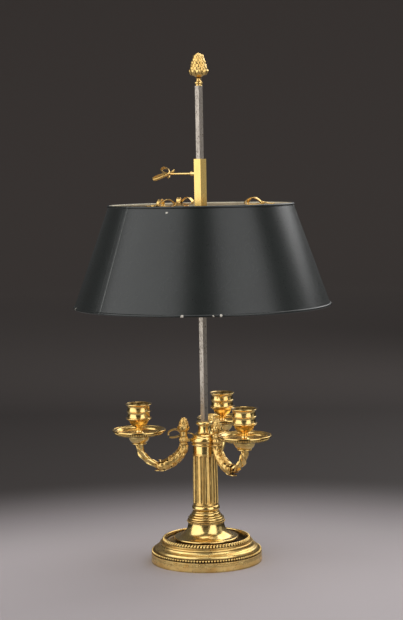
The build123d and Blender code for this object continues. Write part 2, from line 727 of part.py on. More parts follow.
def key_screw():
    """Clamp screw: thread, collar and long thin stem."""
    tip = ROD_SIDE / 2 + SEAT_GAP
    thread_end = sleeve_half + KEY_BOSS_LENGTH + SEAT_GAP
    collar_end = thread_end + KEY_COLLAR_LENGTH
    return along_key(turned(
        (0, tip), (KEY_THREAD_RADIUS, tip), (KEY_THREAD_RADIUS, thread_end),
        (KEY_COLLAR_RADIUS, thread_end), (KEY_COLLAR_RADIUS, collar_end, -KEY_COLLAR_LENGTH / 4),
        (KEY_STEM_RADIUS, collar_end), (KEY_STEM_RADIUS, KEY_KNOT_REACH - KEY_STEM_RADIUS),
        (0, KEY_KNOT_REACH - KEY_STEM_RADIUS)))


def ribbon_loop(length, low, high, thickness):
    """Centre line of a loop of ribbon in the XY plane, out along +X from the knot and back."""
    bend = (high - low) * 0.4
    return FilletPolyline((thickness, thickness), (length, high), (length, low),
                          (thickness, min(low, 0)), radius=bend)


def key_bow():
    """Ribbon-bow handle: a knot, two loops outward and two short tails back."""
    half = KEY_LOOP_WIDTH / 2
    loop = strip(ribbon_loop(KEY_LOOP_LENGTH, -half, half, KEY_RIBBON_THICKNESS), (0, 0, 1),
                 KEY_RIBBON_WIDTH, KEY_RIBBON_THICKNESS)
    tail_line = Spline((0, 0), (KEY_TAIL_LENGTH * 0.45, KEY_RIBBON_THICKNESS),
                       (KEY_TAIL_LENGTH, 0), tangents=[(1, 0.6), (1, 0.1)])
    tail = strip(tail_line, (0, 0, 1), KEY_RIBBON_WIDTH * 0.8, KEY_RIBBON_THICKNESS)
    half_bow = Rot(0, 0, KEY_LOOP_SPLAY) * loop + Rot(0, 0, KEY_TAIL_ANGLE) * tail
    bow = Sphere(KEY_KNOT_RADIUS) + half_bow + mirror(half_bow, Plane.XZ)
    # the bow is drawn with its loops along +X; stand it on the key's axis and give it its tilt
    bow = Rot(0, 0, 90 + KEY_BOW_TILT) * Rot(0, -90, 0) * bow
    socket = ring(0, KEY_STEM_RADIUS + SEAT_GAP, -KEY_TAIL_LENGTH, SEAT_GAP - KEY_STEM_RADIUS)
    return along_key(Pos(0, 0, KEY_KNOT_REACH) * (bow - socket))


def spider_hub():
    """Plate brazed round the sleeve's foot, the root of the three straps."""
    plate = ring(0, SPIDER_HUB_RADIUS, SLEEVE_BOTTOM, SLEEVE_BOTTOM + SPIDER_HUB_THICKNESS)
    side = 2 * (sleeve_half + SEAT_GAP)
    window = Pos(0, 0, SLEEVE_BOTTOM + SPIDER_HUB_THICKNESS / 2) * Box(
        side, side, SPIDER_HUB_THICKNESS)
    return plate - window


def spider_arm():
    """Strap rising in an S from the hub to a level end by the shade's rim."""
    low = SLEEVE_BOTTOM + SPIDER_HUB_THICKNESS + STRAP_THICKNESS / 2
    start = sleeve_half * sqrt(2) + SEAT_GAP
    line = FilletPolyline((start, low), (SPIDER_HUB_RADIUS + STRAP_BEND / 2, low),
                          (STRAP_KNEE, SPIDER_Z), (SHADE_TOP_RADIUS - STRAP_END_GAP, SPIDER_Z),
                          radius=STRAP_BEND)
    strap = strip(Plane.XZ * line, (0, 1, 0), STRAP_WIDTH, STRAP_THICKNESS)
    tip = strap.edges().filter_by(Axis.Z).group_by(Axis.X)[-1]
    strap = fillet(tip, STRAP_WIDTH * STRAP_TIP_ROUNDING)
    hole = Pos(rivet_reach(), 0, SPIDER_Z) * Cylinder(
        RIVET_RADIUS + SPIGOT_CLEARANCE, 2 * STRAP_THICKNESS)
    return strap - hole


def rivet_reach():
    return SHADE_TOP_RADIUS - RIVET_INSET


def strap_rivet():
    """Round-headed rivet through a strap and its lug."""
    top = SPIDER_Z + STRAP_THICKNESS / 2
    bottom = SPIDER_Z - STRAP_THICKNESS / 2 - LUG_THICKNESS
    crown = cap(RIVET_HEAD_RADIUS, RIVET_HEAD_HEIGHT)
    rivet = turned(
        (0, bottom - RIVET_HEAD_HEIGHT), (RIVET_HEAD_RADIUS, bottom, -crown),
        (RIVET_RADIUS, bottom), (RIVET_RADIUS, top), (RIVET_HEAD_RADIUS, top),
        (0, top + RIVET_HEAD_HEIGHT, -crown))
    return Pos(rivet_reach(), 0, 0) * rivet


def shade_lug():
    """Bent lug soldered inside the shade, under the strap's end."""
    top = SPIDER_Z - STRAP_THICKNESS / 2
    start = rivet_reach() - LUG_LENGTH / 2
    lean = atan2(shade_slope, 1)
    gap = SHADE_SHEET / 2 / cos(lean) + SEAT_GAP
    wall = SHADE_TOP_RADIUS + shade_slope * (SHADE_TOP - top) - gap
    foot = wall + shade_slope * LUG_DROP
    inner = LUG_THICKNESS / cos(lean)
    side = outline(
        (start, top), (wall, top), (foot, top - LUG_DROP), (foot - inner, top - LUG_DROP),
        (wall - inner + shade_slope * LUG_THICKNESS, top - LUG_THICKNESS),
        (start, top - LUG_THICKNESS))
    lug = extrude(side, LUG_WIDTH / 2, both=True)
    hole = Pos(rivet_reach(), 0, top - LUG_THICKNESS / 2) * Cylinder(
        RIVET_RADIUS + SPIGOT_CLEARANCE, 2 * LUG_THICKNESS)
    return lug - wall_cutter() - hole


def wall_inside(z):
    """Radius of the shade's inner face at a height."""
    lean = atan2(shade_slope, 1)
    return SHADE_TOP_RADIUS + shade_slope * (SHADE_TOP - z) - SHADE_SHEET / 2 / cos(lean)


def wall_cutter():
    """Everything outside the shade's inner face, less a hair, to trim what is soldered on."""
    low, high = SHADE_BOTTOM, SHADE_TOP
    far = SHADE_BOTTOM_RADIUS * 2
    return turned((wall_inside(low) - SEAT_GAP, low), (far, low), (far, high),
                  (wall_inside(high) - SEAT_GAP, high))


def ribbon_bow():
    """Bow on a strap: two arched loops inward, a knot and two tails outward."""
    top = SPIDER_Z + STRAP_THICKNESS / 2 + BOW_RIBBON_THICKNESS / 2
    arch = Plane.XZ * ribbon_loop(BOW_LOOP_LENGTH, 0, BOW_LOOP_HEIGHT, BOW_RIBBON_THICKNESS)
    loop = strip(arch, (0, 1, 0), BOW_RIBBON_WIDTH, BOW_RIBBON_THICKNESS)
    tail_line = Plane.XZ * Spline((0, BOW_RIBBON_THICKNESS / 2),
                                  (BOW_TAIL_LENGTH * 0.4, BOW_RIBBON_THICKNESS * 2),
                                  (BOW_TAIL_LENGTH, BOW_RIBBON_THICKNESS / 3),
                                  tangents=[(1, 0.8), (1, -0.5)])
    tail = strip(tail_line, (0, 1, 0), BOW_RIBBON_WIDTH * 0.8, BOW_RIBBON_THICKNESS)
    seat = -BOW_RIBBON_THICKNESS / 2
    knot = turned((0, seat), (BOW_KNOT_RADIUS, seat),
                  (0, seat + BOW_KNOT_RADIUS, -cap(BOW_KNOT_RADIUS, BOW_KNOT_RADIUS)))
    bow = knot
    for side in (1, -1):
        bow += Rot(0, 0, 180 + side * BOW_LOOP_SPLAY) * loop
        bow += Rot(0, 0, side * BOW_LOOP_SPLAY * 0.6) * tail
    return Pos(BOW_REACH, 0, top) * bow


def shade_shell():
    """Cone of thin sheet, each edge rolled over a wire, with a lapped seam down one side."""
    lean = atan2(shade_slope, 1)
    half = SHADE_SHEET / 2 / cos(lean)
    sheet = turned(
        (SHADE_BOTTOM_RADIUS - half, SHADE_BOTTOM), (SHADE_BOTTOM_RADIUS + half, SHADE_BOTTOM),
        (SHADE_TOP_RADIUS + half, SHADE_TOP), (SHADE_TOP_RADIUS - half, SHADE_TOP))
    shell = sheet
    for radius, z in ((SHADE_BOTTOM_RADIUS, SHADE_BOTTOM), (SHADE_TOP_RADIUS, SHADE_TOP)):
        shell += revolve(Plane.XZ * Pos(radius, z) * Circle(roll_radius), Axis.Z)
    shell += seam_lap()
    for radius, z in ((SHADE_BOTTOM_RADIUS, SHADE_BOTTOM), (SHADE_TOP_RADIUS, SHADE_TOP)):
        shell -= revolve(Plane.XZ * Pos(radius, z) * Circle(WIRE_RADIUS + ROLL_CLEARANCE), Axis.Z)
    return shell


def seam_lap():
    """Band of the sheet's end that laps over the other end, of even width down the cone."""
    lean = atan2(shade_slope, 1)
    proud = (SHADE_SHEET / 2 + SEAM_LAP) / cos(lean)
    thick = turned(
        (SHADE_BOTTOM_RADIUS, SHADE_BOTTOM), (SHADE_BOTTOM_RADIUS + proud, SHADE_BOTTOM),
        (SHADE_TOP_RADIUS + proud, SHADE_TOP), (SHADE_TOP_RADIUS, SHADE_TOP))
    height = SHADE_TOP - SHADE_BOTTOM
    band = Pos(SHADE_BOTTOM_RADIUS, 0, (SHADE_TOP + SHADE_BOTTOM) / 2) * Box(
        SHADE_BOTTOM_RADIUS, SEAM_WIDTH, height)
    return Rot(0, 0, SEAM_BEARING) * (thick & band)


def rim_wire(radius, z):
    return revolve(Plane.XZ * Pos(radius, z) * Circle(WIRE_RADIUS), Axis.Z)


# ---- all nodes --------------------------------------------------------------------------------
def main():
    os.makedirs("parts", exist_ok=True)
    save("base_foot", base_foot())
    save("lower_bead_ring", bead_band(PLINTH_RADIUS, PLINTH_HEIGHT, LOWER_BEAD))
    save("upper_bead_ring", bead_band(COVE_RADIUS, ledge_z, UPPER_BEAD))
    save("spread_foot", spread_foot())
    save("rope_ring", rope_ring())
    save("column_base", column_base())
    save("column_shaft", column_shaft())
    save("column_neck", column_neck())
    save("arm_hub", arm_hub())
    save("hub_dome", hub_dome())
    save("rod_spool", spool())
    save("square_rod", rod())
    save("tie_washer", tie_washer())
    save("tie_nut", tie_nut())
    save("finial_cup", finial_cup())
    save("pinecone_finial", finial())
    pieces = {"candle_arm": candle_arm(), "arm_knop": arm_knop(), "arm_bracket": arm_bracket(),
              "arm_acorn": arm_acorn(), "pan_holder": pan_holder(), "drip_pan": drip_pan(),
              "candle_nozzle": candle_nozzle()}
    for name, piece in pieces.items():
        for i, bearing in enumerate(CANDLE_BEARINGS, 1):
            save(f"{name}_{i}", at_bearing(piece, bearing))
    save("shade_sleeve", sleeve())
    save("key_boss", key_boss())
    save("key_screw", key_screw())
    save("key_bow", key_bow())
    save("spider_hub", spider_hub())
    strap, bow = spider_arm(), ribbon_bow()
    for i, bearing in enumerate(SPIDER_BEARINGS, 1):
        save(f"spider_arm_{i}", at_bearing(strap, bearing))
        save(f"ribbon_bow_{i}", at_bearing(bow, bearing))
    rivet, lug = strap_rivet(), shade_lug()
    save("strap_rivets", *[at_bearing(rivet, bearing) for bearing in SPIDER_BEARINGS])
    save("shade_lugs", *[at_bearing(lug, bearing) for bearing in SPIDER_BEARINGS])
    save("shade_shell", shade_shell())
    save("shade_bottom_wire", rim_wire(SHADE_BOTTOM_RADIUS, SHADE_BOTTOM))
    save("shade_top_wire", rim_wire(SHADE_TOP_RADIUS, SHADE_TOP))


main()
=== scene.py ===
"""Bouillotte lamp: the looks of a gilt candle lamp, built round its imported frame.

The lamp's frame has +Z up the rod and its origin under the foot. Pieces are drawn in
millimetres and scaled to metres when they are made; the stage is drawn in metres.
"""

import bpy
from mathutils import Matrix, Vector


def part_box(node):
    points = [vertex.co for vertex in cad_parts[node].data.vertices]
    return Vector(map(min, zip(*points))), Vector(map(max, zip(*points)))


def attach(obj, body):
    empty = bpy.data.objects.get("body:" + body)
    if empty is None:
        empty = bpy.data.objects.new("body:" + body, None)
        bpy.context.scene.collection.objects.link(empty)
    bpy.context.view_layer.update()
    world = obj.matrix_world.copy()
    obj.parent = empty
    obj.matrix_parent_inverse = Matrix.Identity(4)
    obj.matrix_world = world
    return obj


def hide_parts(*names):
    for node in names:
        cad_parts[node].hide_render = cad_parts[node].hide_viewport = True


bl_info = {
    "name": "Bouillotte Lamp",
    "version": (1, 0, 0),
    "blender": (4, 5, 0),
    "location": "3D View > Sidebar > Lamp",
    "description": "Chased ornament, painted shade and finishes for a gilt candle lamp",
    "category": "Add Mesh",
}

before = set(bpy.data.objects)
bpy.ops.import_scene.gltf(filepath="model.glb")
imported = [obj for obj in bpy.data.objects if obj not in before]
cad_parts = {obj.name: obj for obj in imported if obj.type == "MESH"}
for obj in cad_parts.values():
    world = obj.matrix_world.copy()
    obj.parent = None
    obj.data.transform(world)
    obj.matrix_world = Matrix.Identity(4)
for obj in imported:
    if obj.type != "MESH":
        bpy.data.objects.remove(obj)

import math
import random

import bmesh
import bpy
from bpy.props import FloatProperty, FloatVectorProperty, IntProperty, PointerProperty
from mathutils import Matrix, Vector

MM = 0.001
TURN = 2 * math.pi
ARMS = (1, 2, 3)
FRAME_HEIGHT = 620  # pixels of the frame that the focal length is given for
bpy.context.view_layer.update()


# ---- places that come from the frame, in millimetres ------------------------------------------
def box_of(node):
    """Lowest and highest corner of a node."""
    low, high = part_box(node)
    return low / MM, high / MM


def middle_of(node):
    low, high = box_of(node)
    return (low + high) / 2


def floor_of(node):
    return box_of(node)[0].z


def top_of(node):
    return box_of(node)[1].z


def radius_of(node):
    """Outer radius of a turned node."""
    low, high = box_of(node)
    return (high.x - low.x) / 2


def span_of(node):
    """Outer radius, foot and head of a turned node."""
    return radius_of(node), floor_of(node), top_of(node)


def bearing_of(node):
    """Angle about the rod at which a node stands."""
    middle = middle_of(node)
    return math.atan2(middle.y, middle.x)


def reach_of(node):
    """Distance of a node's centre from the rod's axis."""
    middle = middle_of(node)
    return math.hypot(middle.x, middle.y)


def spun(bearing, reach=0.0, z=0.0):
    """Place at a bearing and reach from the rod; the piece's own +X points outwards."""
    return Matrix.Rotation(bearing, 4, "Z") @ Matrix.Translation((reach, 0, z))


def place_of(node):
    """Place on the table plane under a node's centre."""
    return spun(bearing_of(node), reach_of(node))


def around(number):
    """Even angles round a circle."""
    return [TURN * k / number for k in range(number)]


def turn(axis, degrees):
    return Matrix.Rotation(math.radians(degrees), 4, axis)


# ---- what a user would change -----------------------------------------------------------------
def length(name, about, default):
    return FloatProperty(name=name, description=about, default=default, unit="LENGTH",
                         subtype="DISTANCE", precision=4)


def colour(name, about, default):
    return FloatVectorProperty(name=name, description=about, default=default, size=3,
                               subtype="COLOR", min=0.0, max=1.0)


def share(name, about, default, **more):
    return FloatProperty(name=name, description=about, default=default, min=0.0, **more)


def count(name, about, default):
    return IntProperty(name=name, description=about, default=default, min=3)


def angle(name, about, degrees):
    return FloatProperty(name=name, description=about, default=math.radians(degrees),
                         subtype="ANGLE", unit="ROTATION")


class LampFinishes(bpy.types.PropertyGroup):
    """Colours and wear of the metals and paints, and the colour of their painted shade."""
    gilt: colour("Gilding", "Clean gilt bronze", (0.95, 0.69, 0.27))
    gilt_deep: colour("Deep gilding", "Redder gold where the gilding is thin", (0.82, 0.50, 0.15))
    # brown used for real grime specks and for painted shade in hollows, flutes, the foot's dish and
    # behind beads
    gilt_dirt_and_shade: colour("Dirt", "Brown tarnish in the hollows", (0.055, 0.030, 0.011))
    brass: colour("Brass", "Burnished brass of the sleeve", (0.86, 0.60, 0.20))
    steel: colour("Steel", "Worn steel of the rod", (0.44, 0.39, 0.335))
    steel_pits: colour("Steel pits", "Brown pits in the rod", (0.13, 0.10, 0.075))
    shade_paint: colour("Shade paint", "Green-black paint outside", (0.0038, 0.0060, 0.0050))
    shade_lining: colour("Shade lining", "Cream paint inside", (0.70, 0.63, 0.46))
    iron: colour("Iron", "Bare iron under the foot", (0.10, 0.095, 0.09))
    burnish: share("Burnished roughness", "Roughness of the burnished gilding", 0.20, max=1.0)
    matt: share("Matt roughness", "Roughness of the matt gilding", 0.38, max=1.0)


class LampOrnament(bpy.types.PropertyGroup):
    """Sizes and numbers of the chased ornament."""
    plinth_beads: count("Plinth beads", "Round beads along the plinth's edge", 118)
    gadroons: count("Gadroons", "Slanted beads round the dish", 85)
    column_pearls: count("Column pearls", "Pearls round the foot of the column", 92)
    pan_beads: count("Pan beads", "Beads under each drip pan's rim", 64)
    pan_bead_radius: length("Pan bead radius", "Radius of a bead on a drip pan", 1.3 * MM)
    cone_rows: count("Finial rows", "Rows of scales on the finial", 7)
    cone_scales: count("Finial scales", "Scales in the widest row of the finial", 10)
    acorn_rows: count("Acorn rows", "Rows of scales on each small cone", 5)
    acorn_scales: count("Acorn scales", "Scales in the widest row of a small cone", 8)
    limb_turns: share("Limb twist", "Turns of the twisted outer limb", 1.15)
    limb_radius: length("Limb radius", "Outer radius of the twisted limb", 6.0 * MM)
    leaf_lobes: count("Leaf lobes", "Lobes down each side of an acanthus leaf", 5)
    bow_reach: length("Bow reach", "Distance of each bow's knot from the rod", 84.0 * MM)
    ribbon_width: length("Ribbon width", "Ribbon of the bows on the straps", 5.6 * MM)
    candle_bore: length("Candle bore", "Radius of the socket in a nozzle", 11.3 * MM)
    key_ribbon_width: length("Key ribbon width", "Ribbon of the key's bow", 3.8 * MM)


class LampShade(bpy.types.PropertyGroup):
    """The painted shade."""
    sheet: length("Sheet", "Thickness of the sheet metal", 0.6 * MM)
    seam_bearing: angle("Seam bearing", "Where the lapped seam runs", 260.5)
    seam_width: length("Seam width", "Width of the seam's overlap", 9.0 * MM)
    seam_rise: length("Seam rise", "How far the overlap stands out", 0.45 * MM)
    dents: length("Dents", "Depth of the slight waves in the sheet", 0.22 * MM)


class LampStage(bpy.types.PropertyGroup):
    """Camera, floor and light."""
    camera_distance: length("Camera distance", "Level distance from the rod", 2.1712)
    camera_height: length("Camera height", "Height above the table", 0.5287)
    camera_azimuth: angle("Camera azimuth", "Where the camera stands round the lamp", 42.0)
    camera_pitch: angle("Camera pitch", "Downward tilt of the camera", 4.961)
    camera_yaw: angle("Camera yaw", "Sideways turn from the rod", 0.037)
    camera_roll: angle("Camera roll", "How far the lamp leans in the frame", 0.991)
    focal_pixels: FloatProperty(name="Focal length", default=1626.1,
                                description="Focal length in pixels of a frame 620 high")
    floor: colour("Floor", "Pale floor round the lamp", (0.468, 0.423, 0.432))
    # colour of the painted shade on the floor behind the lamp
    far_floor_shade: colour("Far floor", "Floor where it darkens behind the lamp", (0.047, 0.040, 0.038))
    backdrop: colour("Backdrop", "Backdrop far behind the lamp", (0.34, 0.295, 0.275))
    world: share("World light", "Strength of the soft light from all round", 0.11)
    left: share("Left box", "Brightness of the wide soft box on the left", 1.52)
    right: share("Right box", "Brightness of the tall soft box on the right", 1.54)
    back: share("Back box", "Brightness of the soft box behind on the right", 2.1)
    side: share("Side box", "Brightness of the low soft box beside the lamp", 0.36)
    top: share("Top box", "Brightness of the soft box overhead", 1.8)


# ---- meshes -----------------------------------------------------------------------------------
def skin(bm, rows, wrap_rows=False, wrap_points=True, slot=0):
    """Covers rows of points with quads; a wrap joins the end back to the start."""
    grid = [[bm.verts.new(p) for p in row] for row in rows]
    height, width = len(grid), len(grid[0])
    for i in range(height if wrap_rows else height - 1):
        for j in range(width if wrap_points else width - 1):
            below, above = grid[i], grid[(i + 1) % height]
            k = (j + 1) % width
            face = bm.faces.new((below[j], below[k], above[k], above[j]))
            face.material_index = slot
    return grid


def tube(bm, rows, slot=0):
    """Closed skin over rings of points, with a fan over each end."""
    grid = skin(bm, rows, slot=slot)
    for ring in (grid[0][::-1], grid[-1]):
        centre = bm.verts.new(sum((v.co for v in ring), Vector()) / len(ring))
        for a, b in zip(ring, ring[1:] + ring[:1]):
            bm.faces.new((a, b, centre)).material_index = slot


def slab(bm, rows, depth):
    """Closed plate under a grid of points: the grid is its face, depth its thickness."""
    height, width = len(rows), len(rows[0])
    back = []
    for i in range(height):
        line = []
        for j in range(width):
            along = rows[min(i + 1, height - 1)][j] - rows[max(i - 1, 0)][j]
            across = rows[i][min(j + 1, width - 1)] - rows[i][max(j - 1, 0)]
            line.append(rows[i][j] - along.cross(across).normalized() * depth)
        back.append(line)
    front, rear = (skin(bm, side, wrap_points=False) for side in (rows, back))
    rim = [(i, 0) for i in range(height)] + [(height - 1, j) for j in range(1, width)]
    rim += [(i, width - 1) for i in range(height - 2, -1, -1)]
    rim += [(0, j) for j in range(width - 2, 0, -1)]
    for (i, j), (k, m) in zip(rim, rim[1:] + rim[:1]):
        bm.faces.new((front[i][j], front[k][m], rear[k][m], rear[i][j]))


def lathe(bm, profile, segments, place=Matrix.Identity(4), ripple=None, closed=True, slot=0):
    """Turns (radius, height) points about Z. ripple(angle, index) moves a point outwards."""
    rows = []
    for index, (radius, z) in enumerate(profile):
        row = []
        for a in around(segments):
            r = radius + (ripple(a, index) if ripple else 0)
            row.append(place @ Vector((r * math.cos(a), r * math.sin(a), z)))
        rows.append(row)
    skin(bm, rows, wrap_rows=closed, slot=slot)


def turned(*points):
    """Profile through (radius, height) points; a third number bows the line to its left."""
    made = [Vector(points[0][:2])]
    for point in points[1:]:
        a, b = made[-1].copy(), Vector(point[:2])
        bow = point[2] if len(point) > 2 else 0.0
        left = Vector((a.y - b.y, b.x - a.x)).normalized()
        steps = 10 if bow else 1
        made += [a.lerp(b, k / steps) + left * bow * 4 * (k / steps) * (1 - k / steps)
                 for k in range(1, steps + 1)]
    return made


def between_rows(table, t):
    """Value at t in a table of (place, value), in straight lines between its rows."""
    for (a, low), (b, high) in zip(table, table[1:]):
        if t <= b:
            return low + (high - low) * (t - a) / (b - a)
    return table[-1][1]


def smooth_path(points, steps):
    """Even points along a smooth curve (Catmull-Rom, by length) through (x, z) or (x, y, z)."""
    points = [Vector((p[0], 0, p[1]) if len(p) == 2 else p) for p in points]
    ends = [2 * points[0] - points[1], *points, 2 * points[-1] - points[-2]]
    dense = []
    for a, b, c, d in zip(ends, ends[1:], ends[2:], ends[3:]):
        for t in (k / 24 for k in range(24)):
            dense.append(0.5 * (2 * b + (c - a) * t + (2 * a - 5 * b + 4 * c - d) * t * t
                                + (3 * b - a - 3 * c + d) * t * t * t))
    dense.append(points[-1])
    lengths = [0.0]
    for p, q in zip(dense, dense[1:]):
        lengths.append(lengths[-1] + (q - p).length)
    even, k = [], 0
    for step in range(steps + 1):
        target = lengths[-1] * step / steps
        while k < len(dense) - 2 and lengths[k + 1] < target:
            k += 1
        part = (target - lengths[k]) / max(lengths[k + 1] - lengths[k], 1e-9)
        even.append(dense[k].lerp(dense[k + 1], min(part, 1.0)))
    return even


def frames_along(path, across):
    """(point, across, normal) at each point of a path that lies near one plane."""
    made = []
    for k, p in enumerate(path):
        tangent = (path[min(k + 1, len(path) - 1)] - path[max(k - 1, 0)]).normalized()
        side = (across - tangent * across.dot(tangent)).normalized()
        made.append((p, side, tangent.cross(side)))
    return made


def ring_round(frame_at, radius_at, points):
    """Ring of points about a path's frame. radius_at(angle) gives its radius."""
    p, side, normal = frame_at
    return [p + (side * math.cos(a) + normal * math.sin(a)) * radius_at(a)
            for a in around(points)]


def sweep(bm, path, section, across=(0, 1, 0)):
    """Sweeps a closed section along a path. section(share) gives (across, outward) points."""
    frames = frames_along(path, Vector(across))
    tube(bm, [[p + side * x + normal * y for x, y in section(k / (len(frames) - 1))]
              for k, (p, side, normal) in enumerate(frames)])


def flat_section(width, thickness, dish=0.0, points=14):
    """Rounded strip section whose middle is dished by a share of its thickness."""
    outline = []
    for a in around(points):
        x, y = (math.copysign(abs(v) ** 0.55, v) for v in (math.cos(a), math.sin(a)))
        outline.append((x * width / 2, y * thickness / 2 + dish * thickness * (x * x - 0.5)))
    return outline


def transform(bm, place, start=0):
    """Moves the vertices made since start."""
    bm.verts.ensure_lookup_table()
    for v in bm.verts[start:]:
        v.co = place @ v.co


def new_object(name, bm):
    mesh = bpy.data.meshes.new(name)
    bm.to_mesh(mesh)
    bm.free()
    mesh.shade_smooth()
    made = bpy.data.objects.new(name, mesh)
    bpy.context.scene.collection.objects.link(made)
    return made


def piece(name, bm, finishes, nodes=(), body="stand", crease=50):
    """Makes the object, lets it ride on its body, and hides the nodes that it stands for."""
    transform(bm, Matrix.Scale(MM, 4))
    bmesh.ops.remove_doubles(bm, verts=bm.verts, dist=1e-7)
    bmesh.ops.recalc_face_normals(bm, faces=bm.faces)
    made = new_object(name, bm)
    made.data.set_sharp_from_angle(angle=math.radians(crease))
    for finish in finishes.split():
        made.data.materials.append(finish_named(finish))
    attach(made, body)
    if nodes:
        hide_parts(*nodes)


# ---- finishes ---------------------------------------------------------------------------------
# Chips in the shade's paint: bearing in degrees, share of the height, radius.
CHIPS = ((291.9, 0.945, 1.7), (303.4, 0.012, 1.9), (316.5, 0.012, 1.3), (319.6, 0.014, 1.7),
         (236.0, 0.015, 1.5), (38.0, 0.97, 1.6), (101.0, 0.013, 2.0), (172.0, 0.011, 1.4))


class Nodes:
    """Short way to write a node tree. Its places and sizes are in millimetres."""

    def __init__(self, owner, coordinates="Object", scale=1 / MM):
        owner.use_nodes = True
        self.tree = owner.node_tree
        self.place = self.node("VectorMath", {0: self.node("TexCoord").outputs[coordinates],
                                              "Scale": scale}, operation="SCALE").outputs[0]

    def feed(self, value, socket):
        """Links a socket, or sets a value."""
        if isinstance(value, bpy.types.NodeSocket):
            self.tree.links.new(value, socket)
        else:
            socket.default_value = value

    def node(self, kind, inputs=None, **settings):
        """New node. inputs gives values or sockets by the name or number of an input."""
        made = self.tree.nodes.new("ShaderNode" + kind)
        for key, value in settings.items():
            setattr(made, key, value)
        for key, value in (inputs or {}).items():
            self.feed(value, made.inputs[key])
        return made

    def noise(self, size, detail=3.0, stretch=(1, 1, 1)):
        """Noise whose blotches are about size across."""
        where = self.node("Mapping", {"Vector": self.place, "Scale": stretch}).outputs["Vector"]
        return self.node("TexNoise", {"Vector": where, "Scale": 1 / size, "Detail": detail,
                                      "Roughness": 0.55}).outputs["Fac"]

    def ramp(self, value, low, high, to_low=0.0, to_high=1.0):
        """Maps low..high to to_low..to_high, clamped."""
        return self.node("MapRange", {"Value": value, "From Min": low, "From Max": high,
                                      "To Min": to_low, "To Max": to_high}).outputs["Result"]

    def math(self, kind, a, b):
        return self.node("Math", {0: a, 1: b}, operation=kind).outputs["Value"]

    def times(self, a, b):
        return self.math("MULTIPLY", a, b)

    def mix(self, factor, a, b):
        """Mixes two colours, each a socket or a tuple."""
        a, b = (c if isinstance(c, bpy.types.NodeSocket) else (*c, 1.0) for c in (a, b))
        return self.node("Mix", {"Factor": factor, 6: a, 7: b}, data_type="RGBA").outputs[2]

    def from_point(self, point):
        return self.node("VectorMath", {0: self.place, 1: point},
                         operation="DISTANCE").outputs["Value"]

    def along(self, direction):
        """Distance from the origin along a direction."""
        return self.node("VectorMath", {0: self.place, 1: direction},
                         operation="DOT_PRODUCT").outputs["Value"]

    def height(self):
        return self.along((0, 0, 1))

    def reach(self):
        """Distance from the rod's axis."""
        x, y = self.along((1, 0, 0)), self.along((0, 1, 0))
        return self.math("SQRT", self.math("ADD", self.times(x, x), self.times(y, y)), 0.0)

    def between(self, value, low, high, soft):
        """1 between low and high, with soft edges."""
        return self.times(self.ramp(value, low - soft, low),
                          self.ramp(value, high, high + soft, 1.0, 0.0))

    def hollows(self, distance):
        """0 in the open, 1 in deep hollows narrower than distance."""
        made = self.node("AmbientOcclusion", {"Distance": distance * MM}, samples=8)
        return self.ramp(made.outputs["AO"], 0.90, 0.35)

    def bump(self, height, depth, strength=1.0, below=None):
        """Bump of a real depth, over another if below is given."""
        made = self.node("Bump", {"Height": height, "Distance": depth * MM,
                                  "Strength": strength})
        if below is not None:
            self.feed(below, made.inputs["Normal"])
        return made.outputs["Normal"]


class Finish(Nodes):
    """Nodes of a new material whose shader starts with the given values."""

    def __init__(self, name, **values):
        self.material = bpy.data.materials.new(name)
        super().__init__(self.material)
        self.shader = self.tree.nodes["Principled BSDF"]
        for key, value in values.items():
            self.shader.inputs[key.replace("_", " ")].default_value = value

    def done(self, base, roughness, normal):
        for key, value in (("Base Color", base), ("Roughness", roughness), ("Normal", normal)):
            if value is not None:
                self.feed(value, self.shader.inputs[key])
        return self.material


def wear():
    return bpy.context.scene.lamp_finishes


def tint(name):
    """A colour of the finishes."""
    return tuple(getattr(wear(), name))


def gilding(name, roughness, grain, tarnish_and_shade, depth=0.02, more=None, red=0.0):
    """Mercury gilding: warm gold, thinner and redder in patches, with painted shade in the hollows.

    more(n, base, normal) adds to the colour and the bump for one part; red is the least share
    of the thin, redder gold.
    """
    n = Finish(name, Metallic=1.0)
    dirt_and_shade = tint("gilt_dirt_and_shade")
    base = n.mix(n.ramp(n.noise(14, 4), 0.42, 0.72, red, 1.0), tint("gilt"), tint("gilt_deep"))
    # painted shade: hollows found by ambient occlusion are darkened towards the brown; the specks
    # below are real grime
    base = n.mix(n.times(n.hollows(3.2), tarnish_and_shade), base, dirt_and_shade)
    specks = n.ramp(n.noise(0.9, 2), 0.62, 0.75)
    base = n.mix(n.times(specks, 0.25 * tarnish_and_shade), base, dirt_and_shade)
    rough = n.ramp(n.noise(5, 5), 0.3, 0.7, roughness * 0.75, roughness * 1.35)
    rough = n.math("ADD", rough, n.times(n.hollows(2.0), 0.2))
    coarse = n.bump(n.noise(6, 2), 0.05, 0.6)
    normal = n.bump(n.noise(grain, 2), depth, 1.0, coarse)
    if more:
        base, normal = more(n, base, normal)
    return n.done(base, rough, normal)


def burnished_gilt():
    return gilding("burnished_gilt", wear().burnish, 1.6, 0.45, 0.008)


def chased_gilt():
    return gilding("chased_gilt", (wear().burnish + wear().matt) / 2, 0.7, 1.0, red=0.4)


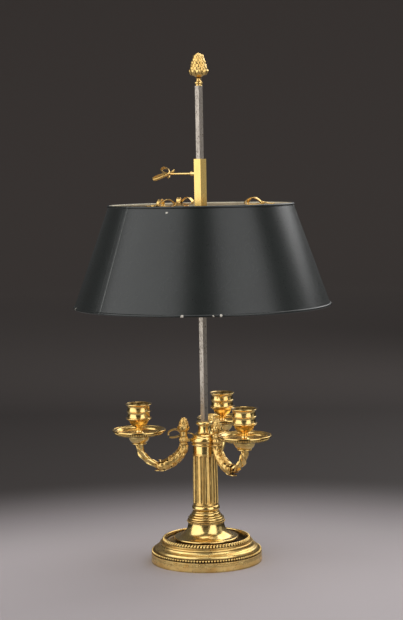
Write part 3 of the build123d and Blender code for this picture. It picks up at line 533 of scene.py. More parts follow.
def foot_gilt():
    """Matt gilding with a punched band round the plinth, and painted shadow in the dish under the
    spread foot's lip.
    """
    def foot(n, base, normal):
        height, dirt_and_shade = n.height(), tint("gilt_dirt_and_shade")
        seat, rim = radius_of("spread_foot") - 4, radius_of("upper_bead_ring") - 4
        # painted shadow: the dish between the spread foot and the gadroons is darkened almost to
        # the brown
        dish = n.times(n.between(n.reach(), seat, rim, 0.6), n.ramp(height, 20, 22))
        base = n.mix(n.times(dish, 0.95), base, dirt_and_shade)
        top = floor_of("lower_bead_ring")
        band = n.between(height, top - 5.2, top - 1.0, 0.25)
        dots = n.node("TexVoronoi", {"Vector": n.place, "Scale": 1 / 1.25})
        pits = n.ramp(dots.outputs["Distance"], 0.15, 0.55, 1.0, 0.0)
        # the punched pits are darkened a little towards the same brown
        wells = n.times(n.math("SUBTRACT", 1.0, pits), band)
        base = n.mix(n.times(wells, 0.3), base, dirt_and_shade)
        return base, n.bump(n.times(pits, band), 0.25, 1.0, normal)
    return gilding("foot_gilt", wear().matt * 0.8, 0.6, 0.8, more=foot)


def ground_gilt():
    """Gilding painted dark as shade, for the ground behind beads, the cores under scales and the
    insides of sockets.
    """
    def shade_the_ground(n, base, normal):
        return n.mix(n.ramp(n.noise(3), 0.35, 0.65, 0.6, 0.9), base, tint("gilt_dirt_and_shade")), normal
    return gilding("ground_gilt", wear().matt, 0.7, 1.0, more=shade_the_ground)


def fluted_gilt():
    """Satin gilding of the shaft, with painted shade along the bottom of each flute and in a thin
    line inside its edges.
    """
    def flutes(n, base, normal):
        foot, low, high = span_of("column_shaft")
        drum = n.ramp(n.height(), low, high, foot, radius_of("column_neck") + 0.2)
        depth = n.math("SUBTRACT", drum, n.reach())
        # painted shade: deep flute bottoms and a thin line inside each edge, patchy
        dirt_and_shade = n.math("MAXIMUM", n.ramp(depth, 0.75, 1.2), n.between(depth, 0.12, 0.3, 0.08))
        dirt_and_shade = n.times(dirt_and_shade, n.ramp(n.noise(9), 0.3, 0.6, 0.45, 0.8))
        return n.mix(dirt_and_shade, base, tint("gilt_dirt_and_shade")), normal
    return gilding("fluted_gilt", 0.34, 0.8, 0.5, 0.015, flutes, 0.5)


def sleeve_brass():
    """Burnished brass with fine draw lines along the rod."""
    n = Finish("sleeve_brass", Metallic=1.0)
    lines = n.noise(0.35, 3, stretch=(1, 1, 0.02))
    stain = n.ramp(n.noise(9, 4, stretch=(1, 1, 0.5)), 0.5, 0.75)
    base = n.mix(n.times(stain, 0.5), tint("brass"), tint("gilt_deep"))
    return n.done(base, n.ramp(lines, 0.3, 0.7, 0.16, 0.30), n.bump(lines, 0.012))


def worn_steel():
    """Old steel: grey, drawn lengthways, with brown pits."""
    n = Finish("worn_steel", Metallic=1.0)
    clouds = n.noise(5, 5, stretch=(1, 1, 0.35))
    pits = n.ramp(n.noise(1.6, 4, stretch=(1, 1, 0.6)), 0.54, 0.68)
    rust = n.times(pits, n.ramp(clouds, 0.35, 0.6, 0.35, 1.0))
    base = n.mix(rust, tint("steel"), tint("steel_pits"))
    rough = n.math("ADD", n.ramp(clouds, 0.3, 0.7, 0.26, 0.5), n.times(rust, 0.25))
    lines = n.bump(n.noise(0.5, 2, stretch=(1, 1, 0.05)), 0.01)
    return n.done(base, rough, n.bump(n.math("SUBTRACT", 1.0, rust), 0.08, 1.0, lines))


def green_black_paint():
    """Satin green-black paint with a fine grain, thin and scuffed near the edges, and a painted
    highlight along the seam.
    """
    n = Finish("green_black_paint", Specular_IOR_Level=0.6)
    deep = tint("shade_paint")
    base = n.mix(n.ramp(n.noise(60, 4), 0.35, 0.65), deep, tuple(c * 1.6 + 0.001 for c in deep))
    flecks = n.ramp(n.noise(0.55, 2), 0.70, 0.76)
    base = n.mix(n.times(flecks, 0.5), base, (0.06, 0.065, 0.06))
    # painted highlight along the edges of the seam's overlap
    base = n.mix(seam_highlights(n), base, (0.115, 0.125, 0.11))
    chips = shade_chips(n)
    base = n.mix(chips, base, (0.62, 0.58, 0.50))
    rough = n.ramp(n.noise(1.4), 0.3, 0.7, 0.26, 0.38)
    rough = n.math("ADD", rough, n.times(chips, 0.3))
    waves = n.bump(n.noise(30, 2), 0.10, 0.7)
    return n.done(base, rough, n.bump(n.noise(1.1), 0.05, 1.0, waves))


def seam_highlights(n):
    """Mask of a patchy painted highlight along the two edges of the seam's overlap."""
    shade = bpy.context.scene.lamp_shade
    a, half = shade.seam_bearing, shade.seam_width / MM / 2
    across = n.along((-math.sin(a), math.cos(a), 0))
    front = n.ramp(n.along((math.cos(a), math.sin(a), 0)), 0, 10)
    patchy = n.ramp(n.noise(6), 0.3, 0.6, 0.35, 1.0)
    lines = n.math("MAXIMUM", n.between(across, half - 0.1, half + 0.5, 0.3),
                   n.times(n.between(across, -half - 0.4, -half, 0.3), 0.5))
    return n.times(n.times(lines, front), patchy)


def shade_chips(n):
    """Mask of a few chips in the paint near the two rims."""
    ragged = n.ramp(n.noise(1.5), 0.2, 0.8, -0.8, 0.8)
    wide, narrow = box_of("shade_bottom_wire")[1].x, box_of("shade_top_wire")[1].x
    low, high = floor_of("shade_shell"), top_of("shade_shell")
    mask = None
    for bearing, up, radius in CHIPS:
        spot = spun(math.radians(bearing), wide + (narrow - wide) * up, low + (high - low) * up)
        near = n.math("ADD", n.from_point(spot.translation), ragged)
        chip = n.ramp(near, radius, radius + 0.4, 1.0, 0.0)
        mask = chip if mask is None else n.math("MAXIMUM", mask, chip)
    return mask


def cream_lining():
    """Cream paint inside the shade, yellowed and a little smoked."""
    n = Finish("cream_lining")
    cream = tint("shade_lining")
    base = n.mix(n.ramp(n.noise(45, 4), 0.4, 0.75), cream, tuple(c * 0.72 for c in cream))
    stains = n.ramp(n.noise(5, 5), 0.62, 0.8)
    base = n.mix(n.times(stains, 0.5), base, (0.30, 0.22, 0.12))
    return n.done(base, n.ramp(n.noise(2), 0.3, 0.7, 0.45, 0.62), n.bump(n.noise(0.9), 0.03))


def bare_iron():
    """Dark iron of the nut and washer under the foot."""
    n = Finish("bare_iron", Metallic=1.0)
    rust = n.ramp(n.noise(3, 5), 0.5, 0.7)
    base = n.mix(rust, tint("iron"), (0.16, 0.075, 0.035))
    return n.done(base, n.ramp(rust, 0.0, 1.0, 0.42, 0.8), n.bump(n.noise(0.8), 0.04))


MAKERS = {maker.__name__: maker for maker in (
    burnished_gilt, chased_gilt, foot_gilt, fluted_gilt, ground_gilt, sleeve_brass, worn_steel,
    green_black_paint, cream_lining, bare_iron)}


def finish_named(name):
    """The material of that name, made on first use."""
    return bpy.data.materials.get(name) or MAKERS[name]()


def dress(finish, *nodes):
    """Gives carried-over nodes a finish."""
    for node in nodes:
        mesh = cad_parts[node].data
        mesh.materials.clear()
        mesh.materials.append(finish_named(finish))


# ---- shapes that several pieces share ---------------------------------------------------------
def bead(bm, centre, radius, rings=6, segments=10):
    """One round bead."""
    rows = []
    for lift in (math.pi * i / rings for i in range(1, rings)):
        rows.append([centre + radius * Vector((math.sin(lift) * math.cos(a),
                                               math.sin(lift) * math.sin(a), -math.cos(lift)))
                     for a in around(segments)])
    tube(bm, rows)


def bead_row(bm, number, reach, z, radius, place=Matrix.Identity(4)):
    """Beads side by side round a circle."""
    for a in around(number):
        bead(bm, place @ Vector((reach * math.cos(a), reach * math.sin(a), z)), radius)


def egg_row(bm, number, reach, z, lean, half_sizes):
    """Leaning beads round the rod, each stretched to three half sizes."""
    for a in around(number):
        start = len(bm.verts)
        bead(bm, Vector(), 1.0, 8, 12)
        transform(bm, spun(a, reach, z) @ lean @ Matrix.Diagonal((*half_sizes, 1)), start)


def half_round(reach, z, size, points=8):
    """Profile points of a half-round fillet whose crest stands out from reach."""
    return [(reach + size * math.sin(a), z - size * math.cos(a))
            for a in (math.pi * k / points for k in range(points + 1))]


def cone_scale(bm, place, width, height, thickness, lift):
    """One scale: a rounded leaf with a ridge and a raised tip. +Y up the cone, +Z outwards."""
    rows = []
    across, along = 6, 6
    for i in range(along + 1):
        v = i / along
        half = width / 2 * (0.12 + 0.88 * math.sin(math.pi * min(v * 0.62 + 0.16, 1.0)) ** 0.9)
        half *= 1.0 if v < 0.75 else 1 - 0.72 * ((v - 0.75) / 0.25) ** 1.6
        row = []
        for j in range(across + 1):
            u = 2 * j / across - 1
            dome = (1 - abs(u) ** 2.2) * thickness * (0.35 + 0.65 * math.sin(math.pi * v * 0.62))
            ridge = 0.22 * thickness * max(0.0, 1 - abs(u) * 4) * v
            tip = -0.55 * thickness * max(0.0, (v - 0.82) / 0.18) ** 2
            row.append(place @ Vector((u * half, v * height, dome + ridge + tip + lift * v)))
        rows.append(row)
    slab(bm, rows, thickness * 0.7)


def cone_of_scales(bm, profile, rows, widest, spread, place=Matrix.Identity(4), start=0.0):
    """Covers a turned core with overlapping scales. profile(share) gives (radius, height)."""
    for row in range(rows):
        t = start + (1 - start) * (row + 0.15) / rows
        radius, z = profile(t)
        ahead, ahead_z = profile(min(t + 0.02, 1.0))
        slope = min(max(math.atan2(radius - ahead, ahead_z - z), -0.25), 0.9)
        number = max(4, round(widest * (radius / spread) ** 0.75))
        rise = profile(min(t + 1.25 / rows, 1.0))[1] - z
        height = 1.2 * rise / max(math.cos(slope), 0.6)
        width = TURN * radius / number * 0.95
        # scale axes: X across, Y up the slope, Z outwards
        axes = Matrix(((0, -math.sin(slope), math.cos(slope), 0), (1, 0, 0, 0),
                       (0, math.cos(slope), math.sin(slope), 0), (0, 0, 0, 1)))
        for k in range(number):
            stand = spun(TURN * (k + row % 2 / 2) / number, radius, z)
            cone_scale(bm, place @ stand @ axes, width, height, width * 0.24, width * 0.06)


def ribbon(bm, points, across, width, thickness, degrees, swell=0.35, steps=64):
    """Ribbon along a smooth path, narrow at its ends, with its edges turned up; spun about Z."""
    def section(t):
        wide = width * (1 - swell + swell * math.sin(math.pi * t) ** 0.7)
        return flat_section(wide, thickness, 0.5)
    start = len(bm.verts)
    sweep(bm, smooth_path(points, steps), section, across)
    transform(bm, turn("Z", degrees), start)


def knot(bm, z, size, flat):
    """Small ribbed knot: a swelling band with four folds."""
    rows = []
    for lift in (math.pi * i / 9 for i in range(1, 9)):
        row = []
        for a in around(24):
            r = size * math.sin(lift) * (1 - 0.14 * (1 - abs(math.sin(2 * a))))
            row.append(Vector((-size * 0.9 * math.cos(lift), r * math.cos(a),
                               z + r * flat * math.sin(a))))
        rows.append(row)
    tube(bm, rows)


# ---- the operators ----------------------------------------------------------------------------
def on_each_arm(make_one, context):
    """Makes a like piece for each of the three arms or straps."""
    for i in ARMS:
        make_one(context.scene.lamp_ornament, i)
    return {"FINISHED"}


class LAMP_OT_finishes(bpy.types.Operator):
    """Gives every turned and plain part of the frame its metal or paint"""
    bl_idname = "lamp.finishes"
    bl_label = "Finishes"

    def execute(self, context):
        dress("foot_gilt", "base_foot")
        dress("fluted_gilt", "column_shaft")
        dress("burnished_gilt", "spread_foot", "column_base", "column_neck",
              "arm_hub", "hub_dome", "rod_spool", "finial_cup", "key_boss", "key_screw",
              *(f"{kind}_{i}" for kind in ("pan_holder", "drip_pan") for i in ARMS))
        dress("chased_gilt", "spider_hub", "strap_rivets", *(f"spider_arm_{i}" for i in ARMS))
        dress("sleeve_brass", "shade_sleeve")
        dress("worn_steel", "square_rod")
        dress("cream_lining", "shade_lugs")
        dress("bare_iron", "tie_washer", "tie_nut", "shade_top_wire", "shade_bottom_wire")
        return {"FINISHED"}


class LAMP_OT_foot_mouldings(bpy.types.Operator):
    """Beads, gadroons and pearl moulding of the foot"""
    bl_idname = "lamp.foot_mouldings"
    bl_label = "Foot Mouldings"

    def execute(self, context):
        sizes = context.scene.lamp_ornament
        self.beads(sizes.plinth_beads)
        self.gadroons(sizes.gadroons)
        self.pearls(sizes.column_pearls)
        return {"FINISHED"}

    def beads(self, number):
        """Round beads on a plain ledge between two fine fillets."""
        outer, low, high = span_of("lower_bead_ring")
        inner, back = outer - (high - low) * 2, outer - 2.9
        width = TURN * (outer - 1.7) / number / 2
        bm = bmesh.new()
        egg_row(bm, number, outer - 1.75, low + 2.2, turn("X", -12), (1.55, width * 0.76, 1.7))
        # slot 1, the ledge behind the beads, is painted in shade
        lathe(bm, [(inner, low), (outer - 0.5, low), (outer - 0.6, low + 0.3), (back, low + 0.5),
                   (back, high), (inner, high)], 256, slot=1)
        piece("plinth_bead_row", bm, "burnished_gilt ground_gilt", ["lower_bead_ring"], crease=35)

    def gadroons(self, number):
        """Slanted egg-shaped lobes round the dish, with a plain fillet inside them."""
        outer, low, high = span_of("upper_bead_ring")
        inner, middle = outer - (high - low), outer - 2.0
        bm = bmesh.new()
        # slot 1, the ground under the gadroons, is painted in shade
        lathe(bm, [(inner, low), (outer - 0.5, low), (outer - 0.8, low + 0.4),
                   (middle - 0.9, low + 0.7), (inner + 1.6, high - 1.4), (inner + 1.8, high - 0.7)],
              256, closed=False, slot=1)
        lathe(bm, [(inner + 1.8, high - 0.7), (inner + 1.3, high - 0.25), (inner + 0.7, high - 0.3),
                   (inner + 0.2, high - 0.8), (inner, high - 1.4), (inner, low)],
              256, closed=False)
        width = TURN * middle / number / 2
        egg_row(bm, number, middle + 0.25, low + 2.1, turn("X", -20) @ turn("Y", -34),
                (1.5, width * 0.74, 2.7))
        piece("dish_gadroon_ring", bm, "burnished_gilt ground_gilt", ["upper_bead_ring"])

    def pearls(self, number):
        """Row of fine pearls under a fillet where the column springs from the spread foot."""
        outer, low, high = span_of("rope_ring")
        core = outer - 1.7
        pearl = TURN * (outer - 0.95) / number / 2 * 0.86
        bm = bmesh.new()
        bead_row(bm, number, outer - pearl - 0.05, low + 0.5 + pearl, pearl)
        lathe(bm, [(core * 0.5, low), (outer - 1.2, low), (core, low + 0.5), (core, high - 1.75)]
              + half_round(core, high - 0.95, 0.8)
              + [(core, high - 0.1), (core - 1, high), (core * 0.5, high)], 160)
        piece("rope_moulding", bm, "chased_gilt", ["rope_ring"])


class LAMP_OT_finial(bpy.types.Operator):
    """Pine-cone finial on the rod"""
    bl_idname = "lamp.finial"
    bl_label = "Pine-Cone Finial"

    def execute(self, context):
        sizes = context.scene.lamp_ornament
        outer, low, tip = span_of("pinecone_finial")
        base = low + 6.2
        shape = ((0.0, 0.30), (0.065, 0.64), (0.13, 0.92), (0.21, 1.0), (0.30, 0.94),
                 (0.45, 0.85), (0.62, 0.74), (0.80, 0.58), (0.91, 0.36), (1.0, 0.10))

        def profile(t):
            """Egg shape: swells quickly from the neck, then tapers to a blunt tip."""
            return (outer - 2.7) * between_rows(shape, t), base + (tip - base - 3.0) * t

        bm = bmesh.new()
        core = [(r * 0.96, z) for r, z in (profile(k / 24) for k in range(25))]
        stem = [(0.1, low), (4.4, low), (4.2, low + 0.8), (3.1, low + 1.8), (3.0, base - 1.6),
                (3.9, base - 0.6)]
        lathe(bm, stem + core[:6], 48, closed=False)
        # slot 1, the core between the scales, is painted in shade
        lathe(bm, core[5:] + [(0.1, tip - 3.0)], 48, closed=False, slot=1)
        cone_of_scales(bm, profile, sizes.cone_rows, sizes.cone_scales, outer, start=0.11)
        bead(bm, Vector((0, 0, tip - 1.9)), 1.9)
        piece("pine_cone", bm, "chased_gilt ground_gilt", ["pinecone_finial"], crease=60)
        return {"FINISHED"}


class LAMP_OT_acorns(bpy.types.Operator):
    """Small cones that stand over the inner end of each arm"""
    bl_idname = "lamp.acorns"
    bl_label = "Small Cones"

    def execute(self, context):
        return on_each_arm(self.one, context)

    def one(self, sizes, i):
        node = f"arm_acorn_{i}"
        outer, low, high = span_of(node)
        place, cup = place_of(node), 0.16
        shape = ((0.16, 0.95), (0.24, 1.0), (0.36, 0.97), (0.50, 0.84), (0.69, 0.70),
                 (0.84, 0.50), (0.94, 0.28), (1.0, 0.10))

        def profile(t):
            up = cup + (0.95 - cup) * t
            return (outer - 1.5) * between_rows(shape, up / 0.95), low + (high - low) * up

        bm = bmesh.new()
        foot = [(0.5, low), (4.6, low), (4.9, low + 0.6), (4.5, low + 1.3), (5.2, low + 1.9),
                (outer * 0.9, low + 2.9), (outer * 0.97, low + 3.6), (outer * 0.9, low + 4.1)]
        core = [(r * 0.95, z) for r, z in (profile(k / 14) for k in range(1, 15))]
        lathe(bm, foot, 40, place, closed=False)
        # slot 1, the core between the scales, is painted in shade
        lathe(bm, foot[-1:] + core + [(0.1, high - 1)], 40, place, closed=False, slot=1)
        cone_of_scales(bm, profile, sizes.acorn_rows, sizes.acorn_scales, outer, place)
        bead(bm, place @ Vector((0, 0, high - 1.4)), 1.4)
        piece(f"small_cone_{i}", bm, "chased_gilt ground_gilt", [node], crease=60)


# Stations along an arm's centre line: how many, where the twisted limb starts inside the sheath,
# and where the sheath ends.
STATIONS, LIMB_START, SHEATH_END = 120, 54, 61


def arm_line(i):
    """Centre line of an arm in its own plane (x outwards, z up), from the knop to the holder."""
    inner, outer = reach_of(f"arm_acorn_{i}"), reach_of(f"candle_nozzle_{i}")
    neck, holder = floor_of(f"arm_knop_{i}"), floor_of(f"pan_holder_{i}")
    low = floor_of(f"candle_arm_{i}") + 7.6
    bottom = inner + (outer - inner) * 0.523
    return [(inner, neck), (inner + 1.0, neck - 6.5),
            (inner + (bottom - inner) * 0.34, low + 9.4), (bottom, low),
            (outer - (outer - bottom) * 0.30, low + 10.6), (outer - 1.2, holder - 8),
            (outer, holder)]


def sheath_radius(t):
    """Radius of the sheath's core at a share of its length."""
    return 4.3 + 1.5 * math.sin(math.pi * 0.5 * min(1.0, t * 1.25))


class LAMP_OT_arms(bpy.types.Operator):
    """Scrolled arms: twisted outer limb, inner limb wrapped in acanthus"""
    bl_idname = "lamp.arms"
    bl_label = "Scrolled Arms"

    def execute(self, context):
        return on_each_arm(self.one, context)

    def one(self, sizes, i):
        bm = bmesh.new()
        frames = frames_along(smooth_path(arm_line(i), STATIONS), Vector((0, 1, 0)))
        self.limb(bm, frames, sizes)
        self.sheath(bm, frames)
        for side in range(4):
            self.leaf(bm, frames, sizes.leaf_lobes, TURN * side / 4, 0.02, 0.565, 1.0)
        for side in range(4):
            self.leaf(bm, frames, sizes.leaf_lobes, TURN * (side + 0.5) / 4, 0.0, 0.36, 0.8)
        transform(bm, spun(bearing_of(f"candle_nozzle_{i}")))
        piece(f"acanthus_arm_{i}", bm, "chased_gilt burnished_gilt", [f"candle_arm_{i}"],
              crease=48)

    def limb(self, bm, frames, sizes):
        """Rolled leaves twisted round the limb: a saw-toothed section that turns."""
        lobes, rows = 3, []
        for k in range(LIMB_START, STATIONS + 1):
            t = (k - LIMB_START) / (STATIONS - LIMB_START)
            size = sizes.limb_radius / MM * (0.76 + 0.24 * min(1.0, t * 1.5))

            def radius(a):
                lobe = (lobes * (a / TURN + sizes.limb_turns * t)) % 1.0
                tooth = lobe ** 0.75 * (1 - max(0.0, (lobe - 0.86) / 0.14) ** 2)
                return size * (0.54 + 0.46 * tooth)
            rows.append(ring_round(frames[k], radius, 48))
        tube(bm, rows, slot=1)

    def sheath(self, bm, frames):
        """Round core under the leaves, with a ring at its neck and a lip drawn in at its mouth."""
        rows = []
        for k in range(SHEATH_END + 1):
            t = k / SHEATH_END
            r = sheath_radius(t) + 0.9 * max(0.0, 1 - abs(t - 0.03) / 0.03)
            r -= 1.6 * max(0.0, (t - 0.93) / 0.07)
            rows.append(ring_round(frames[k], lambda a: r, 40))
        tube(bm, rows)

    def leaf(self, bm, frames, lobes, bearing, start, end, breadth):
        """Acanthus leaf laid along the limb: lobed edges, a vein, and a tip that curls away."""
        along, across = 44, 12
        rows = []
        for i in range(along + 1):
            t = i / along
            place = (start + (end - start) * t) * STATIONS
            k = min(int(place), STATIONS - 1)
            (p, side, normal), (next_p, _, next_normal) = frames[k:k + 2]
            p = p.lerp(next_p, place - k)
            normal = normal.lerp(next_normal, place - k).normalized()
            lobe = abs(math.sin(math.pi * lobes * t ** 1.15))
            width = (0.98 - 0.22 * t) * math.sin(math.pi * min(1.0, 0.16 + t * 0.56)) ** 0.5
            taper = 1.0 if t < 0.86 else math.sqrt(max(0.0, 1 - ((t - 0.86) / 0.14) ** 2))
            half = breadth * (width * (0.70 + 0.30 * lobe) * (0.40 + 0.60 * taper))
            curl = 0.7 * max(0.0, (t - 0.72) / 0.28) ** 2
            body = sheath_radius(place / SHEATH_END) + 0.55
            row = []
            for j in range(across + 1):
                u = 2 * j / across - 1
                a = bearing + u * half * 0.95
                fold = 0.42 * abs(u) * math.cos(TURN * lobes * t ** 1.15)
                vein = 0.45 * max(0.0, 1 - abs(u) * 5)
                edge = 0.75 * abs(u) ** 2 * (0.4 + 0.6 * lobe)
                r = body + fold + vein + edge + curl
                row.append(p + side * r * math.sin(a) + normal * r * math.cos(a))
            rows.append(row)
        slab(bm, rows, -0.8)


class LAMP_OT_knops(bpy.types.Operator):
    """Lobed knops between the arms and their brackets"""
    bl_idname = "lamp.knops"
    bl_label = "Knops"

    def execute(self, context):
        return on_each_arm(self.one, context)

    def one(self, sizes, i):
        node, acorn = f"arm_knop_{i}", f"arm_acorn_{i}"
        low, tall = floor_of(node), top_of(node) - floor_of(node)
        rings = ((0.05, 4.4), (0.0, 5.2), (0.04, 5.7), (0.12, 5.9), (0.2, 5.3), (0.24, 4.9),
                 (0.3, 5.3), (0.4, 6.1), (0.52, 6.5), (0.66, 6.5), (0.78, 6.0), (0.86, 5.2),
                 (0.9, 4.8), (0.94, 5.2), (1.0, 5.2), (1.0, 3.0))

        def lobes(a, index):
            """Gadroons on the swelling, small beads on the lower ring."""
            if 6 <= index <= 11:
                return 0.75 * (abs(math.sin(4.5 * a)) ** 0.8 - 0.75)
            return 0.40 * (abs(math.sin(6 * a)) - 0.6) if 1 <= index <= 4 else 0.0

        bm = bmesh.new()
        lathe(bm, [(r, low + up * tall) for up, r in rings], 108, place_of(acorn), lobes)
        self.tenon(bm, spun(bearing_of(acorn)), reach_of(acorn) - 4.6, low + tall / 2 + 2.0)
        piece(f"lobed_knop_{i}", bm, "chased_gilt", [node])

    def tenon(self, bm, place, knop, z):
        """Short waisted lug that enters the hub."""
        hub = radius_of("arm_hub") - 4.4
        slab(bm, [[place @ Vector((x, y, z)) for y in (-waist, waist)]
                  for x, waist in ((hub, 2.0), ((hub + knop) / 2, 1.5), (knop, 2.0))], 4.0)


class LAMP_OT_brackets(bpy.types.Operator):
    """Boss, inner leaf and two open tendrils at the head of each arm"""
    bl_idname = "lamp.brackets"
    bl_label = "Brackets And Tendrils"

    def execute(self, context):
        return on_each_arm(self.one, context)

    def one(self, sizes, i):
        acorn = f"arm_acorn_{i}"
        foot, head, inner = top_of(f"arm_knop_{i}"), floor_of(acorn), reach_of(acorn)
        bm = bmesh.new()
        lathe(bm, [(2.4, foot), (4.7, foot), (5.2, foot + 1), (4.4, foot + 2), (4.4, head - 1.4),
                   (5.0, head - 0.6), (4.8, head), (2.4, head)], 48, spun(0, inner))
        self.tendrils(bm, inner, foot)
        self.inner_leaf(bm, inner, foot)
        transform(bm, spun(bearing_of(acorn)))
        piece(f"tendril_bracket_{i}", bm, "chased_gilt", [f"arm_bracket_{i}"])

    def tendrils(self, bm, inner, foot):
        """Upper tendril arches out and curls down; the lower one runs straight out."""
        upper = ((3.2, 3.0), (5.6, 7.2), (11, 9.4), (17.8, 7.8), (21, 4.2), (20.4, 1.8))
        lower = ((3.5, 1.2), (9, -0.6), (14, -1.4), (19, -1.0))
        for points, wide, steps in ((upper, 4.0, 40), (lower, 3.6, 30)):
            def section(t):
                taper = 1 - 0.25 * t
                return flat_section(wide * taper, 3.2 * taper, 0.12, 12)
            sweep(bm, smooth_path([(inner + x, foot + z) for x, z in points], steps), section)

    def inner_leaf(self, bm, inner, foot):
        """Curled leaf from the boss back to the dome."""
        seat = radius_of("arm_hub") - 3.2
        path = smooth_path([(inner - 3.4, foot + 2.2), (inner - 5.6, foot + 3.9),
                            (seat + 1.5, foot + 2.6), (seat - 0.4, floor_of("hub_dome") + 2.6)],
                           24)
        sweep(bm, path, lambda t: flat_section(2.6 + 2.0 * math.sin(math.pi * t), 1.3, -0.5))


class LAMP_OT_nozzles(bpy.types.Operator):
    """Candle nozzles: bowl, sharp ring, two coves with a ridge between them, dished lip"""
    bl_idname = "lamp.nozzles"
    bl_label = "Candle Nozzles"

    def execute(self, context):
        return on_each_arm(self.one, context)

    def one(self, sizes, i):
        node = f"candle_nozzle_{i}"
        outer, low, top = span_of(node)
        ring, wall, bore = top - 19.9, outer - 2.3, sizes.candle_bore / MM
        outside = turned(
            (0.01, low), (6.0, low), (6.0, low + 2.6, -0.7), (4.7, low + 3.6),
            (4.7, ring - 12.6, 0.5), (outer - 4.4, ring - 3.2, -1.5), (outer - 0.5, ring - 0.5),
            (outer, ring), (outer - 0.3, ring + 0.6), (wall, ring + 1.3),
            (wall, ring + 8.6, 0.45), (wall + 0.6, ring + 9.0), (wall + 0.6, ring + 9.8, -0.25),
            (wall, ring + 10.1), (wall, top - 2.6, 0.45), (outer - 0.6, top - 1.5),
            (outer - 0.3, top - 0.2, -0.4), (outer - 1.4, top), (outer - 2.0, top - 0.4))
        inside = turned(
            (outer - 2.0, top - 0.4), (bore + 2.6, top - 1.4), (bore + 1.9, top - 5.0, 0.3),
            (bore, top - 6.5), (bore, top - 21.5), (0.01, top - 21.5))
        bm = bmesh.new()
        lathe(bm, outside, 72, place_of(node), closed=False)
        # slot 1, the inside of the socket, is painted in shade
        lathe(bm, inside, 72, place_of(node), closed=False, slot=1)
        piece(f"turned_nozzle_{i}", bm, "burnished_gilt ground_gilt", [node], crease=32)


class LAMP_OT_pans(bpy.types.Operator):
    """Small beads under the rim of each drip pan, and the roll along its lip"""
    bl_idname = "lamp.pan_beads"
    bl_label = "Drip Pan Beads"

    def execute(self, context):
        return on_each_arm(self.one, context)

    def one(self, sizes, i):
        node = f"drip_pan_{i}"
        outer, low, high = span_of(node)
        place, rim, lip = place_of(node), outer - 4.5, outer - 0.8
        bm = bmesh.new()
        bead_row(bm, sizes.pan_beads, rim + 0.2, low + 5.0, sizes.pan_bead_radius / MM, place)
        # slot 1, a band behind the beads, is painted in shade
        lathe(bm, [(rim - 1.2, low + 2.3), (rim - 0.1, low + 2.8), (rim + 0.1, low + 5.6),
                   (rim - 1.2, low + 5.8)], 120, place, slot=1)
        lathe(bm, [(lip - 0.8, high - 0.1), (lip - 0.55, high + 0.4), (lip, high + 0.6),
                   (lip + 0.5, high + 0.4), (lip + 0.75, high - 0.1)], 120, place)
        piece(f"pan_bead_row_{i}", bm, "burnished_gilt ground_gilt")


class LAMP_OT_bows(bpy.types.Operator):
    """Ribbon bows on the straps that carry the shade"""
    bl_idname = "lamp.bows"
    bl_label = "Ribbon Bows"

    def execute(self, context):
        return on_each_arm(self.one, context)

    def one(self, sizes, i):
        node = f"ribbon_bow_{i}"
        wide, thick = sizes.ribbon_width / MM, 1.0
        top = top_of(f"spider_arm_{i}") + thick / 2
        tall = top_of(node) - top - thick / 2
        loop = ((1.5, 1.6), (7, 0.66 * tall), (14, 0.96 * tall), (20.5, 0.72 * tall), (24, 2.6),
                (21.5, 0.5), (14, 0.3), (5, 0.9), (1, 1.2))
        tail = ((1, 1.4), (5, 2.6), (9, 1.6), (13, 0.9), (16, 1.5))
        bm = bmesh.new()
        for side in (1, -1):
            ribbon(bm, loop, (0, 1, 0), wide, thick, 180 + side * 26)
            ribbon(bm, tail, (0, 1, 0), wide * 0.8, thick, side * 20, 0.2, 36)
        knot(bm, 2.0, 3.2, 0.8)
        transform(bm, spun(bearing_of(node), sizes.bow_reach / MM, top))
        piece(f"strap_bow_{i}", bm, "chased_gilt", [node], "shade_carrier")


class LAMP_OT_key(bpy.types.Operator):
    """Ribbon-bow handle of the thumb key"""
    bl_idname = "lamp.key_bow"
    bl_label = "Key Bow"

    def execute(self, context):
        sizes = context.scene.lamp_ornament
        wide, thick = sizes.key_ribbon_width / MM, 1.1
        loop = ((0.6, 0.4, 0), (6, 3.4, 0), (14, 4.6, 0), (21, 3.8, 0), (24.2, 0.4, 0),
                (21, -2.9, 0), (14, -3.2, 0), (6, -2.0, 0), (0.6, -0.4, 0))
        bm = bmesh.new()
        for side in (1, -1):
            ribbon(bm, loop, (0, 0, 1), wide, thick, side * 29)
            tail = ((0.5, 0, 0), (3.5, 1.1 * side, 0), (7, 0.9 * side, 0), (9.4, -0.3 * side, 0))
            ribbon(bm, tail, (0, 0, 1), wide * 0.8, thick, side * 118, 0.2, 36)
        knot(bm, 0, 2.5, 1.0)
        knot_reach = -box_of("key_screw")[0].x + 1.4
        transform(bm, spun(math.pi, 0, middle_of("key_screw").z) @ turn("Y", 90)
                  @ Matrix.Translation((0, 0, knot_reach)) @ turn("Z", 142.4) @ turn("Y", -90))
        piece("key_ribbon_bow", bm, "chased_gilt", ["key_bow"], "key")
        return {"FINISHED"}


